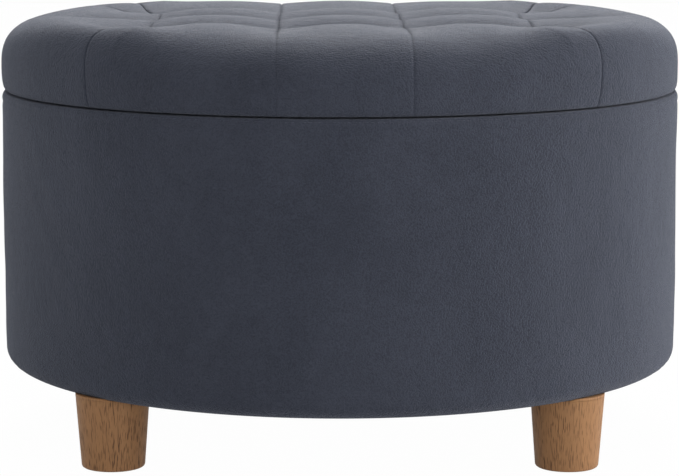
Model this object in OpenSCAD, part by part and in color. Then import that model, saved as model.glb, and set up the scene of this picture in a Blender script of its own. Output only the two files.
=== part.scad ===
// Round upholstered ottoman with a storage well under a hinged, tufted lid.
// Millimetres, +Z up. The origin is on the floor at the drum's centre axis.
// The front faces -Y and the lid hinges at the back, on +Y.

/* [Drum] */
// Outer diameter over the velvet
body_d = 711; // [640:1:800]
// Height of the drum from its underside to its rim
body_h = 284; // [230:1:340]
// Roll of the padded edge at the rim and under the lid
edge_roll = 6; // [5:0.5:8]
// Roll of the padded edge round the underside
base_roll = 15; // [12:0.5:18]

/* [Lid] */
// Height of the lid from its underside to the crests of the tufting
lid_h = 78.5; // [72:0.5:90]
// Gap between the rim and the lid
lid_gap = 3; // [3:0.1:4]
// Width of the lid's rounded shoulder
shoulder_w = 60; // [45:1:75]
// Height of the lid's rounded shoulder
shoulder_h = 46; // [36:1:50]
// Angle the lid opens to
lid_open = 100; // [90:1:104]

/* [Tufting] */
// Distance between neighbouring tufts
tuft_pitch = 128.4; // [110:0.2:140]
// Distance of the front and back crests from the centre
end_crest = 203.7; // [195:0.1:215]
// Distance of the side crests from the centre
side_crest = 262; // [250:1:275]
// Angle from the front or the back at which the corner pleats reach the rim
pleat_angle = 45; // [43:0.5:48]
// Fall of the top from the end crests to the rim
end_fall = 14; // [0:0.5:18]
// Depth of the creases that run from front to back
long_sag = 7; // [4:0.5:9]
// Depth of the creases that run from side to side
cross_sag = 13; // [8:0.5:16]
// Depth of the pleats that run from the corner tufts to the rim
pleat_sag = 9; // [6:0.5:12]
// Half width of those pleats
pleat_w = 26; // [18:1:34]
// Depth of the pit at each tuft below the crests
tuft_depth = 24; // [18:1:30]
// Radius of the pit at each tuft
tuft_r = 46; // [36:1:50]
// Half width of the level strip along each crest
crest_flat = 1.5; // [1:0.5:3]

/* [Cloth and padding] */
// Thickness of the velvet
velvet_t = 1.5; // [1:0.1:2]
// Thickness of the foam round the drum
wall_foam_t = 10; // [7:0.5:14]
// Thickness of the foam round the edge of the lid board
edge_foam_t = 8; // [6:0.5:10]
// Slack between one layer of padding and the next
layer_gap = 0.3; // [0.2:0.1:0.6]
// Width of the velvet turned under the drum
base_turn = 60; // [40:1:90]
// Width of the velvet turned under the lid
lid_turn = 30; // [20:1:36]
// Length of the velvet turned down inside the rim
rim_turn = 12; // [8:1:20]
// Thickness of the cloth under the lid
lid_cloth_t = 1; // [0.6:0.1:1.4]
// Thickness of the dust cloth under the drum
dust_cloth_t = 1; // [0.6:0.1:1.4]

/* [Frame] */
// Thickness of the bottom board
bottom_t = 12; // [11:0.5:18]
// Thickness of the lid board
lid_board_t = 12; // [9:0.5:16]
// Thickness of the rim ring
ring_t = 15; // [12:0.5:20]
// Radial width of the rim ring
ring_w = 30; // [28:1:40]
// Thickness of the fibreboard skin
skin_t = 3; // [2:0.5:5]
// Number of posts between the bottom board and the rim ring
post_n = 6; // [6:1:6]
// Width of each post
post_w = 40; // [30:1:50]
// Height of the curved rail that backs the hinges and stays
rail_h = 60; // [52:1:80]
// Angle covered by the rail on each side of the back
rail_half_angle = 25; // [23:0.5:26]
// Thickness of the cloth-covered card that lines the well
lining_t = 1.5; // [1:0.1:2.5]
// Thickness of the padded floor of the well
floor_t = 3; // [2:0.5:5]

/* [Legs] */
// Height of the drum's underside above the floor
leg_h = 74; // [55:1:110]
// Diameter of a leg at the top
leg_top_d = 73.5; // [60:0.5:80]
// Diameter of a leg at the foot
leg_foot_d = 63; // [46:0.5:70]
// Round on the foot's edge
foot_round = 3; // [1:0.5:5]
// Distance of a leg's top edge inside the drum's side
leg_inset = 0.3; // [0:0.1:8]
// Diameter of the felt glide under a leg
glide_d = 40; // [30:1:42]
// Thickness of the felt glide
glide_t = 3; // [2:0.1:4]
// Height that the glides stand out below the feet
glide_proud = 1; // [0.5:0.1:1.8]
// Diameter of the hanger bolt
bolt_d = 8; // [6:0.5:10]
// Length of the hanger bolt inside the leg
bolt_in_leg = 38; // [25:1:45]
// Diameter of the tee nut's flange
nut_flange_d = 22; // [18:0.5:26]
// Thickness of the tee nut's flange
nut_flange_t = 1.5; // [1:0.1:2]
// Wall of the tee nut's barrel
nut_wall = 1.25; // [1:0.05:2]

/* [Hinges] */
// Distance from the centre line to the middle of each hinge
hinge_x = 45; // [36:1:52]
// Length of each hinge
hinge_l = 50; // [40:1:56]
// Thickness of the leaves
leaf_t = 1.2; // [1:0.05:1.3]
// Radius of the knuckles
knuckle_r = 3; // [2.8:0.05:3.4]
// Diameter of the hinge pin
hinge_pin_d = 3; // [2.4:0.1:3.2]
// Radial running clearance in the turning knuckles
hinge_fit = 0.05; // [0.02:0.01:0.08]
// Gap between neighbouring knuckles
knuckle_gap = 0.4; // [0.3:0.05:0.6]
// Depth of a leaf from the pin's axis
leaf_w = 40; // [36:0.5:44]
// Diameter of the wood screws' shanks
screw_d = 3.5; // [3:0.1:4]
// Diameter of the wood screws' heads
screw_head_d = 7; // [6:0.1:8]
// How far the knuckles stay inside the drum's outline
hinge_inset = 0.5; // [0.3:0.1:1]
// Room that the velvet leaves round the knuckles
hinge_room = 0.6; // [0.4:0.1:1]
// Length of the hinge screws in the rim ring
body_screw_l = 14; // [10:1:18]
// Length of the hinge screws in the lid board
lid_screw_l = 10; // [7:0.5:11]

/* [Stays] */
// Distance from the centre line to the inner face of each stay bracket
stay_x = 96; // [92:1:100]
// Distance from the hinge axis to both pins of a stay
stay_reach = 115; // [112:0.5:120]
// Angle of the drum's pin below the hinge axis
stay_body_angle = 19; // [18:0.5:20]
// Angle of the lid's pin below the hinge axis
stay_lid_angle = 5; // [4.5:0.1:5.5]
// Thickness of the steel in the brackets and arms
stay_t = 2; // [1.6:0.1:2.4]
// Width of a stay arm
arm_w = 16; // [14:0.5:17]
// Diameter of the stay's shoulder pins
stay_pin_d = 6; // [5:0.1:7]
// Radial clearance of the pin in the arm's eye
eye_fit = 0.06; // [0.03:0.01:0.09]
// Clearance on each side of the pin in the slot
slot_fit = 0.2; // [0.1:0.05:0.4]
// Gap between an arm and the bracket beside it
side_gap = 0.6; // [0.5:0.05:1]
// Diameter of the pins' heads
stay_head_d = 11; // [9:0.5:12]
// Thickness of the pins' heads
stay_head_t = 1.2; // [0.8:0.1:1.6]
// Gap between a pin's head and the arm
head_gap = 0.3; // [0.2:0.05:0.4]
// Width of the brackets' screwed feet
foot_w = 26; // [22:1:30]
// Length of the lid bracket's flange
flange_l = 30; // [26:1:36]
// Distance between the two screws of a lid bracket
tab_screw_gap = 16; // [14:1:18]
// How far those screws sit outside the middle of the flange
tab_screw_shift = 1; // [0:0.5:2]
// Length of the bracket screws in the drum
bracket_screw_l = 20; // [16:1:24]
// Height of the drum bracket
bracket_h = 26; // [24:1:30]
// How much the bracket's fin narrows on each side towards its nose
fin_taper = 2; // [1:0.5:3]

/* [Bumpers] */
// Diameter of a rubber bumper on the rim
bumper_d = 10; // [8:0.5:14]
// Clearance over a bumper when the lid is shut
bumper_fit = 0.2; // [0.1:0.1:0.5]
// Angles of the bumpers round the rim
bumper_angles = [200, 245, 295, 340];

/* [Hidden] */
$fn = 96;

// Heights
z_rim = leg_h + body_h;
z_lid = z_rim + lid_gap;
z_top = z_lid + lid_h;
z_board = leg_h + velvet_t;
z_floor = z_board + bottom_t;
z_ring_top = z_rim - velvet_t;
z_ring = z_ring_top - ring_t;
z_hinge = z_rim + lid_gap / 2;
z_lid_board = z_lid + velvet_t;
z_lid_board_top = z_lid_board + lid_board_t;

// Radii
body_r = body_d / 2;
foam_r = body_r - velvet_t - layer_gap;
foam_in_r = foam_r - wall_foam_t;
skin_r = foam_in_r - layer_gap;
frame_r = skin_r - skin_t;
ring_in_r = frame_r - ring_w;
well_r = ring_in_r - lining_t;
leg_axis_r = body_r - leg_inset - leg_top_d / 2;
lid_board_r = foam_r - edge_foam_t - layer_gap;
tuck_r = body_r - base_roll - base_turn;
cloth_r = lid_board_r - lid_turn;

// Hinge line
hinge_y = body_r - knuckle_r - hinge_inset;
hinge_recess_r = knuckle_r + hinge_room;

// Stay geometry: both pins lie at one distance from the hinge line
pin_y = hinge_y - stay_reach * cos(stay_body_angle);
pin_z = z_hinge - stay_reach * sin(stay_body_angle);
lid_pin_y = hinge_y - stay_reach * cos(stay_lid_angle);
lid_pin_z = z_hinge - stay_reach * sin(stay_lid_angle);
arm_lean = (stay_body_angle + stay_lid_angle) / 2;
arm_shut = 2 * stay_reach * sin((stay_body_angle - stay_lid_angle) / 2);
arm_open = 2 * stay_reach * sin((stay_body_angle - stay_lid_angle + lid_open) / 2);
arm_x = stay_x + stay_t + side_gap;
tab_x = arm_x + stay_t + side_gap;

// Rings and discs -------------------------------------------------------

// Upright tube between two radii
module tube(outer, inner, low, high) {
    translate([0, 0, low])
        difference() {
            cylinder(r = outer, h = high - low, $fn = 180);
            translate([0, 0, -1]) cylinder(r = inner, h = high - low + 2, $fn = 180);
        }
}

// Copies the children to each of the four leg places
module at_legs() {
    for (i = [0:3]) at_leg(i) children();
}

// Moves the children to one leg place, counted from front left
module at_leg(i) {
    rotate([0, 0, 225 + 90 * i]) translate([leg_axis_r, 0, 0]) children();
}

// Frame -------------------------------------------------------------------

module bottom_board() {
    color("burlywood")
        difference() {
            translate([0, 0, z_board]) cylinder(r = frame_r, h = bottom_t, $fn = 180);
            at_legs() {
                translate([0, 0, z_board - 1])
                    cylinder(d = bolt_d + 2 * nut_wall, h = bottom_t + 2);
                translate([0, 0, z_floor - nut_flange_t])
                    cylinder(d = nut_flange_d, h = nut_flange_t + 1);
            }
        }
}

module rim_ring() {
    color("burlywood")
        difference() {
            tube(frame_r, ring_in_r, z_ring, z_ring_top);
            for (side = [-1, 1]) hinge_screw_holes(side, -1);
        }
}

// One upright, curved to fill the space between the lining and the skin
module post(i) {
    color("tan")
        rotate([0, 0, (i - 1) * 360 / post_n])
            intersection() {
                tube(frame_r, ring_in_r, z_floor, z_ring);
                translate([0, -post_w / 2, 0]) cube([body_r, post_w, z_rim]);
            }
}

// Curved rail under the rim ring, from post to post across the back
module back_rail() {
    sweep = 2 * rail_half_angle;
    color("tan")
        difference() {
            translate([0, 0, z_ring - rail_h])
                rotate([0, 0, 90 - rail_half_angle])
                    rotate_extrude(angle = sweep, $fn = 180)
                        translate([ring_in_r, 0]) square([ring_w, rail_h]);
            for (side = [-1, 1]) {
                hinge_screw_holes(side, -1);
                bracket_screw_holes(side);
            }
        }
}

module wall_skin() {
    color("sienna") tube(skin_r, frame_r, z_board + skin_t, z_ring_top);
}

// Foam round the drum, from the board's edge to the rim
module wall_foam() {
    base = [body_r - base_roll, leg_h + base_roll];
    rim = [body_r - edge_roll, z_rim - edge_roll];
    slack = velvet_t + layer_gap;
    base_start = 270 + asin(max(0, foam_in_r - base[0]) / (base_roll - slack));
    color("khaki")
        difference() {
            rotate_extrude($fn = 180)
                polygon(concat(
                    arc(base, base_roll - slack, base_start, 360),
                    arc(rim, edge_roll - slack, 0, 90),
                    [[foam_in_r, z_rim - slack]]));
            hinge_recess();
        }
}

// Points along an arc, by centre, radius and two angles
function arc(c, r, from, to, n = 8) =
    [for (i = [0:n]) c + r * [cos(from + (to - from) * i / n), sin(from + (to - from) * i / n)]];

// Velvet round the drum: turned under the base, up the side, over the rim and into the well
module side_cover() {
    inner_base = base_roll - velvet_t;
    inner_edge = edge_roll - velvet_t;
    color("#3b3f4b")
        difference() {
            rotate_extrude($fn = 180)
                polygon(concat(
                    [[tuck_r, leg_h]],
                    arc([body_r - base_roll, leg_h + base_roll], base_roll, 270, 360),
                    arc([body_r - edge_roll, z_rim - edge_roll], edge_roll, 0, 90),
                    [[well_r, z_rim], [well_r, z_rim - rim_turn], [ring_in_r, z_rim - rim_turn],
                     [ring_in_r, z_ring_top]],
                    arc([body_r - edge_roll, z_rim - edge_roll], inner_edge, 90, 0),
                    arc([body_r - base_roll, leg_h + base_roll], inner_base, 360, 270),
                    [[tuck_r, z_board]]));
            hinge_recess();
            at_legs() translate([0, 0, leg_h - 1]) cylinder(d = bolt_d + 2 * nut_wall, h = 4);
            for (side = [-1, 1]) hinge_screw_holes(side, -1);
        }
}

module well_lining() {
    color("#2b2b2e")
        difference() {
            tube(ring_in_r, well_r, z_floor, z_rim - rim_turn);
            for (side = [-1, 1]) bracket_screw_holes(side);
        }
}

module well_floor() {
    color("#2b2b2e")
        translate([0, 0, z_floor]) cylinder(r = well_r - layer_gap, h = floor_t, $fn = 180);
}

module dust_cloth() {
    color("#202022")
        translate([0, 0, z_board - dust_cloth_t])
            cylinder(r = tuck_r - layer_gap, h = dust_cloth_t, $fn = 180);
}

// Legs ----------------------------------------------------------------------

// Turned, tapered leg with a rounded foot, a recess for the glide and a bored top
module leg(i) {
    top = leg_top_d / 2;
    foot = leg_foot_d / 2;
    color("#7d5a3c")
        difference() {
            at_leg(i - 1)
                rotate_extrude($fn = 96)
                    polygon(concat(
                        [[0, glide_proud]],
                        arc([foot - foot_round, glide_proud + foot_round], foot_round, 270, 360, 4),
                        [[top, leg_h], [0, leg_h]]));
            at_leg(i - 1) translate([0, 0, -1]) cylinder(d = glide_d, h = glide_t + 1);
            at_leg(i - 1) translate([0, 0, leg_h - bolt_in_leg]) cylinder(d = bolt_d, h = leg_h);
        }
}

module glide(i) {
    color("#2a2420") at_leg(i - 1) cylinder(d = glide_d, h = glide_t);
}

module hanger_bolts() {
    color("silver")
        at_legs()
            translate([0, 0, leg_h - bolt_in_leg])
                cylinder(d = bolt_d, h = bolt_in_leg + velvet_t + bottom_t - nut_flange_t);
}

// Barrel and flange of each tee nut, pressed in from above
module tee_nuts() {
    barrel_d = bolt_d + 2 * nut_wall;
    color("silver")
        at_legs()
            difference() {
                union() {
                    translate([0, 0, z_board]) cylinder(d = barrel_d, h = bottom_t);
                    translate([0, 0, z_floor - nut_flange_t])
                        cylinder(d = nut_flange_d, h = nut_flange_t);
                }
                translate([0, 0, z_board - 1]) cylinder(d = bolt_d, h = bottom_t + 2);
            }
}

module rim_bumpers() {
    color("#1c1c1c")
        for (a = bumper_angles)
            rotate([0, 0, a])
                translate([(ring_in_r + frame_r) / 2, 0, z_rim])
                    cylinder(d = bumper_d, h = lid_gap - bumper_fit);
}

// Hinges --------------------------------------------------------------------

// Room for the knuckles in the velvet and foam round the hinge line
module hinge_recess() {
    for (side = [-1, 1])
        translate([side * hinge_x - hinge_l / 2 - 1, hinge_y, z_hinge])
            rotate([0, 90, 0]) cylinder(r = hinge_recess_r, h = hinge_l + 2, $fn = 48);
}

// Knuckle number k of five, from the hinge's left end
module knuckle(side, k) {
    step = hinge_l / 5;
    translate([side * hinge_x - hinge_l / 2 + k * step + knuckle_gap / 2, hinge_y, z_hinge])
        rotate([0, 90, 0]) cylinder(r = knuckle_r, h = step - knuckle_gap, $fn = 48);
}

// Room that knuckle k of the other leaf needs in a leaf's edge
module knuckle_room(side, k) {
    step = hinge_l / 5;
    translate([side * hinge_x - hinge_l / 2 + k * step - knuckle_gap / 2, hinge_y, z_hinge])
        rotate([0, 90, 0])
            cylinder(r = knuckle_r + knuckle_gap, h = step + knuckle_gap, $fn = 48);
}

// Centres of the three screws of one leaf, seen from above
function screw_places(side) = [
    for (p = [[-0.32, 0.62], [0, 0.8], [0.32, 0.62]])
        [side * hinge_x + p[0] * hinge_l, hinge_y - p[1] * leaf_w]
];

// Holes for one hinge's screws, down into the rim or up into the lid
module hinge_screw_holes(side, way) {
    for (p = screw_places(side))
        translate([p[0], p[1], z_hinge]) screw_body(way, way < 0 ? body_screw_l : lid_screw_l);
}

// Countersunk screw from the outer face of a leaf at the hinge's height
module screw_body(way, length) {
    face = lid_gap / 2 - leaf_t;
    sink = (screw_head_d - screw_d) / 2;
    mirror([0, 0, way < 0 ? 1 : 0])
        rotate_extrude($fn = 48)
            polygon([[0, face], [screw_head_d / 2, face], [screw_d / 2, face + sink],
                [screw_d / 2, face + length - 2], [0, face + length]]);
}

// One leaf: a plate with the given knuckles, bored for the pin
module hinge_leaf(side, way, own, other, bore_r) {
    low = way < 0 ? z_rim : z_lid - leaf_t;
    difference() {
        union() {
            translate([side * hinge_x - hinge_l / 2, hinge_y - leaf_w, low])
                cube([hinge_l, leaf_w, leaf_t]);
            for (k = own) knuckle(side, k);
        }
        for (k = other) knuckle_room(side, k);
        translate([side * hinge_x - hinge_l / 2 - 1, hinge_y, z_hinge])
            rotate([0, 90, 0]) cylinder(r = bore_r, h = hinge_l + 2, $fn = 48);
        hinge_screw_holes(side, way);
    }
}

module hinge_leaf_body(side) {
    color("goldenrod") hinge_leaf(side, -1, [0, 2, 4], [1, 3], hinge_pin_d / 2);
}

module hinge_leaf_lid(side) {
    color("goldenrod") hinge_leaf(side, 1, [1, 3], [0, 2, 4], hinge_pin_d / 2 + hinge_fit);
}

module hinge_pin(side) {
    color("gold")
        translate([side * hinge_x - hinge_l / 2 + knuckle_gap / 2, hinge_y, z_hinge])
            rotate([0, 90, 0]) cylinder(d = hinge_pin_d, h = hinge_l - knuckle_gap, $fn = 48);
}

module hinge_screws(way) {
    color("silver") for (side = [-1, 1]) hinge_screw_holes(side, way);
}

// Stays -----------------------------------------------------------------------

// Angle round the drum at which the bracket's fin meets the lining
foot_r = well_r - stay_t;
fin_angle = acos((stay_x + stay_t) / foot_r);
foot_angle = fin_angle + asin(foot_w / 2 / foot_r);

// Moves the children to the middle of a drum bracket's foot, X pointing outwards
module at_bracket_foot(side) {
    mirror([side < 0 ? 1 : 0, 0, 0]) rotate([0, 0, foot_angle]) translate([0, 0, pin_z]) children();
}

// Screws through the foot, the lining and the rail
module bracket_screw_holes(side) {
    for (z = [-bracket_h / 4, bracket_h / 4])
        at_bracket_foot(side)
            translate([foot_r - bracket_sag, 0, z])
                rotate([0, 90, 0])
                    rotate_extrude($fn = 32)
                        polygon([[0, 0], [screw_head_d / 2, 0],
                            [screw_d / 2, (screw_head_d - screw_d) / 2],
                            [screw_d / 2, bracket_screw_l], [0, bracket_screw_l + screw_d / 2]]);
}

// Hollow left by the flat foot against the round lining
bracket_sag = well_r - sqrt(well_r * well_r - foot_w * foot_w / 4);

// Drum bracket: a flat foot on the lining and a fin that carries the pin
module stay_bracket(side) {
    color("silver")
        difference() {
            union() {
                at_bracket_foot(side)
                    translate([foot_r - bracket_sag, -foot_w / 2, -bracket_h / 2])
                        cube([stay_t, foot_w, bracket_h]);
                mirror([side < 0 ? 1 : 0, 0, 0])
                    translate([stay_x, 0, 0])
                        rotate([90, 0, 90]) linear_extrude(stay_t) fin_outline();
            }
            bracket_screw_holes(side);
            stay_bore(side, pin_y, pin_z, stay_pin_d / 2);
        }
}

// Side outline of the fin, from its round nose to the foot
module fin_outline() {
    back = (foot_r - bracket_sag) * sin(foot_angle) - foot_w / 2 * cos(foot_angle) + 0.8 * stay_t;
    nose = bracket_h / 2 - fin_taper;
    translate([pin_y, pin_z]) circle(r = nose, $fn = 48);
    polygon([[pin_y, pin_z - nose], [back, pin_z - bracket_h / 2],
        [back, pin_z + bracket_h / 2], [pin_y, pin_z + nose]]);
}

// Bore along X at one place in a stay's side view
module stay_bore(side, y, z, r) {
    translate([side * (arm_x + stay_t / 2), y, z])
        rotate([0, 90, 0]) cylinder(r = r, h = 2 * foot_w, center = true, $fn = 48);
}

// Shoulder pin between two X values, headed at the far end
module shoulder_pin(side, y, z, from, to, head_from) {
    mirror([side < 0 ? 1 : 0, 0, 0])
        translate([0, y, z])
            rotate([0, 90, 0]) {
                translate([0, 0, from]) cylinder(d = stay_pin_d, h = to - from, $fn = 48);
                translate([0, 0, head_from]) cylinder(d = stay_head_d, h = stay_head_t, $fn = 48);
            }
}

module stay_pin(side) {
    head = arm_x + stay_t + head_gap;
    color("gray") shoulder_pin(side, pin_y, pin_z, stay_x, head + stay_head_t, head);
}

module lid_pin(side) {
    head = arm_x - head_gap - stay_head_t;
    color("gray") shoulder_pin(side, lid_pin_y, lid_pin_z, head, tab_x + stay_t, head);
}

module stay_screws_body() {
    color("silver") for (side = [-1, 1]) bracket_screw_holes(side);
}

// Centres of a lid tab's two screws
function tab_screws(side) = [
    for (way = [-0.5, 0.5])
        [side * (tab_x + foot_w / 2 + tab_screw_shift), lid_pin_y + way * tab_screw_gap]
];

module tab_screw_holes(side) {
    for (p = tab_screws(side))
        translate([p[0], p[1], z_lid - stay_t + leaf_t - lid_gap / 2]) screw_body(1, lid_screw_l);
}

module stay_screws_lid() {
    color("silver") for (side = [-1, 1]) tab_screw_holes(side);
}

// Lid bracket: a screwed flange and a tab that hangs beside the arm
module lid_tab(side) {
    drop = z_lid - lid_pin_z;
    color("silver")
        difference() {
            mirror([side < 0 ? 1 : 0, 0, 0]) {
                translate([tab_x, lid_pin_y - flange_l / 2, z_lid - stay_t])
                    cube([foot_w, flange_l, stay_t]);
                translate([tab_x, 0, 0])
                    rotate([90, 0, 90])
                        linear_extrude(stay_t) {
                            translate([lid_pin_y, lid_pin_z]) circle(d = arm_w, $fn = 48);
                            polygon([[lid_pin_y - arm_w / 2, lid_pin_z],
                                [lid_pin_y + arm_w / 2, lid_pin_z],
                                [lid_pin_y + flange_l / 2, z_lid],
                                [lid_pin_y - flange_l / 2, z_lid]]);
                        }
            }
            tab_screw_holes(side);
            stay_bore(side, lid_pin_y, lid_pin_z, stay_pin_d / 2);
        }
}

// Slotted arm that hangs from the lid's pin and slides over the drum's pin
module stay_arm(side) {
    slot_r = stay_pin_d / 2 + slot_fit;
    far = arm_open + slot_fit;
    near = arm_shut - slot_fit;
    color("lightgray")
        mirror([side < 0 ? 1 : 0, 0, 0])
            translate([arm_x, lid_pin_y, lid_pin_z])
                rotate([-(90 - arm_lean), 0, 0])
                    rotate([0, 90, 0])
                        rotate([0, 0, 90])
                            difference() {
                                union() {
                                    cylinder(d = arm_w, h = stay_t);
                                    translate([far, 0, 0]) cylinder(d = arm_w, h = stay_t);
                                    translate([0, -arm_w / 2, 0]) cube([far, arm_w, stay_t]);
                                }
                                translate([0, 0, -1])
                                    cylinder(r = stay_pin_d / 2 + eye_fit, h = stay_t + 2);
                                translate([near, 0, -1]) cylinder(r = slot_r, h = stay_t + 2);
                                translate([far, 0, -1]) cylinder(r = slot_r, h = stay_t + 2);
                                translate([near, -slot_r, -1])
                                    cube([far - near, 2 * slot_r, stay_t + 2]);
                            }
}

// Lid -------------------------------------------------------------------------

module lid_board() {
    color("burlywood")
        difference() {
            translate([0, 0, z_lid_board]) cylinder(r = lid_board_r, h = lid_board_t, $fn = 180);
            for (side = [-1, 1]) {
                hinge_screw_holes(side, 1);
                tab_screw_holes(side);
            }
        }
}

// Side outline of the padded lid, drawn inwards from the velvet's face by one inset
module lid_envelope(inset) {
    a = shoulder_w - inset;
    b = shoulder_h - inset;
    c = [body_r - shoulder_w, z_top - shoulder_h];
    roll = edge_roll - inset;
    rotate_extrude($fn = 180)
        polygon(concat(
            [[0, z_lid + inset]],
            arc([body_r - edge_roll, z_lid + edge_roll], roll, 270, 360, 6),
            [for (t = [0:7.5:90]) c + [a * cos(t), b * sin(t)]],
            [[0, z_top - inset]]));
}

// Depth of a crease at t, which runs from 0 at the crease to 1 at the crest
function crease(t) = (1 - t) * (1 - t);

// Groove along Y between two ends, pressed into the top; half widths left and right
module crease_groove(x, left, right, sag, from, to) {
    steps = 5;
    translate([x, to, z_top])
        rotate([90, 0, 0])
            linear_extrude(to - from)
                polygon(concat(
                    left > 0 ? [for (i = [steps:-1:1]) [-left * i / steps, -sag * crease(i / steps)]] : [],
                    [[0, -sag]],
                    right > 0 ? [for (i = [1:steps]) [right * i / steps, -sag * crease(i / steps)]] : [],
                    [[right, 2], [-left, 2]]));
}

// Pit pulled into the padding at one tuft
module tuft_pit() {
    steps = 5;
    rotate_extrude($fn = 48)
        translate([0, z_top])
            polygon(concat(
                [for (i = [0:steps]) [tuft_r * i / steps, -tuft_depth * crease(i / steps)]],
                [[tuft_r, 2], [0, 2]]));
}

// Plan of the pleat at one corner: from the corner tuft over the rim, and as far again
corner_tuft = [1.5 * tuft_pitch, tuft_pitch];
pleat_rim = body_r * [sin(pleat_angle), cos(pleat_angle)];
pleat_run = 2 * (pleat_rim - corner_tuft);
pleat_end = corner_tuft + pleat_run;

// Pleat pressed along that plan
module pleat_groove() {
    translate([corner_tuft[0], corner_tuft[1], 0])
        rotate([0, 0, -atan2(pleat_run[0], pleat_run[1])])
            crease_groove(0, pleat_w, pleat_w, pleat_sag, 0, norm(pleat_run));
}

// Upright block over the front and back rows, out to the corner pleats
module end_sectors() {
    for (end = [0, 1])
        mirror([0, end, 0])
            translate([0, 0, z_lid])
                linear_extrude(2 * lid_h)
                    polygon([corner_tuft, pleat_end, [-pleat_end[0], pleat_end[1]],
                        [-corner_tuft[0], corner_tuft[1]]]);
}

// Upright blocks over the side petals, out to the corner pleats
module side_sectors() {
    for (side = [0, 1])
        mirror([side, 0, 0])
            translate([0, 0, z_lid])
                linear_extrude(2 * lid_h)
                    polygon([corner_tuft, pleat_end, [pleat_end[0], -pleat_end[1]],
                        [corner_tuft[0], -corner_tuft[1]]]);
}

// Padding that falls from the end crests to the rim, and the outer face of the end creases
module end_slopes(outer_half) {
    steps = 5;
    run = body_r - end_crest;
    rotate([90, 0, 90])
        linear_extrude(2 * body_r, center = true)
            for (end = [0, 1])
                mirror([end, 0, 0])
                    translate([0, z_top])
                        polygon(concat(
                            [for (i = [0:steps]) [end_crest - crest_flat - outer_half * (1 - i / steps),
                                -cross_sag * crease(i / steps)]],
                            [for (i = [0:steps]) [end_crest + run * i / steps,
                                -end_fall * pow(i / steps, 2)]],
                            [[body_r, 2], [tuft_pitch, 2]]));
}

// Everything the tufting presses out of the lid's top
module tufting() {
    half = tuft_pitch / 2 - crest_flat;
    side_half = side_crest - 1.5 * tuft_pitch - crest_flat;
    end_half = end_crest - tuft_pitch - crest_flat;
    for (side = [0, 1])
        mirror([side, 0, 0]) {
            crease_groove(tuft_pitch / 2, half, half, long_sag, -body_r, body_r);
            crease_groove(1.5 * tuft_pitch, half, 0, long_sag, -tuft_pitch, tuft_pitch);
        }
    intersection() {
        for (side = [0, 1])
            mirror([side, 0, 0])
                crease_groove(1.5 * tuft_pitch, 0, side_half, long_sag, -body_r, body_r);
        side_sectors();
    }
    intersection() {
        end_slopes(end_half);
        end_sectors();
    }
    rotate([0, 0, 90]) {
        crease_groove(-tuft_pitch, 0, half, cross_sag, -corner_tuft[0], corner_tuft[0]);
        crease_groove(0, half, half, cross_sag, -body_r, body_r);
        crease_groove(tuft_pitch, half, 0, cross_sag, -corner_tuft[0], corner_tuft[0]);
    }
    for (side = [0, 1], end = [0, 1])
        mirror([side, 0, 0]) mirror([0, end, 0]) pleat_groove();
    for (x = [-1.5:1:1.5], y = [-1:1:1])
        translate([x * tuft_pitch, y * tuft_pitch, 0]) tuft_pit();
}

// Whole padded lid with its tufted top, drawn inwards from the velvet's face by one inset
module tufted_form(inset) {
    difference() {
        lid_envelope(inset);
        translate([0, 0, -inset]) tufting();
    }
}

// Velvet over the lid, turned under its edge all round
module lid_cover() {
    color("#454956")
        difference() {
            tufted_form(0);
            tufted_form(velvet_t);
            translate([0, 0, z_lid - 1]) cylinder(r = cloth_r, h = velvet_t + 1, $fn = 180);
            hinge_recess();
            for (side = [-1, 1]) hinge_screw_holes(side, 1);
        }
}

// Foam pad over and round the lid board
module lid_foam() {
    color("khaki")
        difference() {
            tufted_form(velvet_t + layer_gap);
            translate([0, 0, z_lid_board - 1])
                cylinder(r = lid_board_r + layer_gap, h = lid_board_t + 1, $fn = 180);
            hinge_recess();
        }
}

// Cloth that closes the underside of the lid inside the turned velvet
module lid_cloth() {
    color("#2b2b2e")
        difference() {
            translate([0, 0, z_lid_board - lid_cloth_t])
                cylinder(r = cloth_r - layer_gap, h = lid_cloth_t, $fn = 180);
            for (side = [-1, 1]) {
                tab_screw_holes(side);
                hinge_screw_holes(side, 1);
            }
        }
}

bottom_board();
rim_ring();
post(1);  // post_1
post(2);  // post_2
post(3);  // post_3
post(4);  // post_4
post(5);  // post_5
post(6);  // post_6
back_rail();
wall_skin();
wall_foam();
side_cover();
well_lining();
well_floor();
dust_cloth();
leg(1);  // leg_1
leg(2);  // leg_2
leg(3);  // leg_3
leg(4);  // leg_4
glide(1);  // glide_1
glide(2);  // glide_2
glide(3);  // glide_3
glide(4);  // glide_4
hanger_bolts();
tee_nuts();
rim_bumpers();
hinge_leaf_body(-1);  // hinge_leaf_body_left
hinge_leaf_body(1);  // hinge_leaf_body_right
hinge_pin(-1);  // hinge_pin_left
hinge_pin(1);  // hinge_pin_right
hinge_screws(-1);  // hinge_screws_body
stay_bracket(-1);  // stay_bracket_left
stay_bracket(1);  // stay_bracket_right
stay_pin(-1);  // stay_pin_left
stay_pin(1);  // stay_pin_right
stay_screws_body();
lid_board();
lid_foam();
lid_cover();
lid_cloth();
hinge_leaf_lid(-1);  // hinge_leaf_lid_left
hinge_leaf_lid(1);  // hinge_leaf_lid_right
hinge_screws(1);  // hinge_screws_lid
lid_tab(-1);  // lid_tab_left
lid_tab(1);  // lid_tab_right
lid_pin(-1);  // lid_pin_left
lid_pin(1);  // lid_pin_right
stay_screws_lid();
stay_arm(-1);  // stay_arm_left
stay_arm(1);  // stay_arm_right
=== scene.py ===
"""Dresses a round storage ottoman: tufted velvet lid, velvet drum, turned legs, hinges and stays."""
import logging
import math
from dataclasses import dataclass
from enum import Enum
from typing import Any, Callable, Sequence

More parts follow.
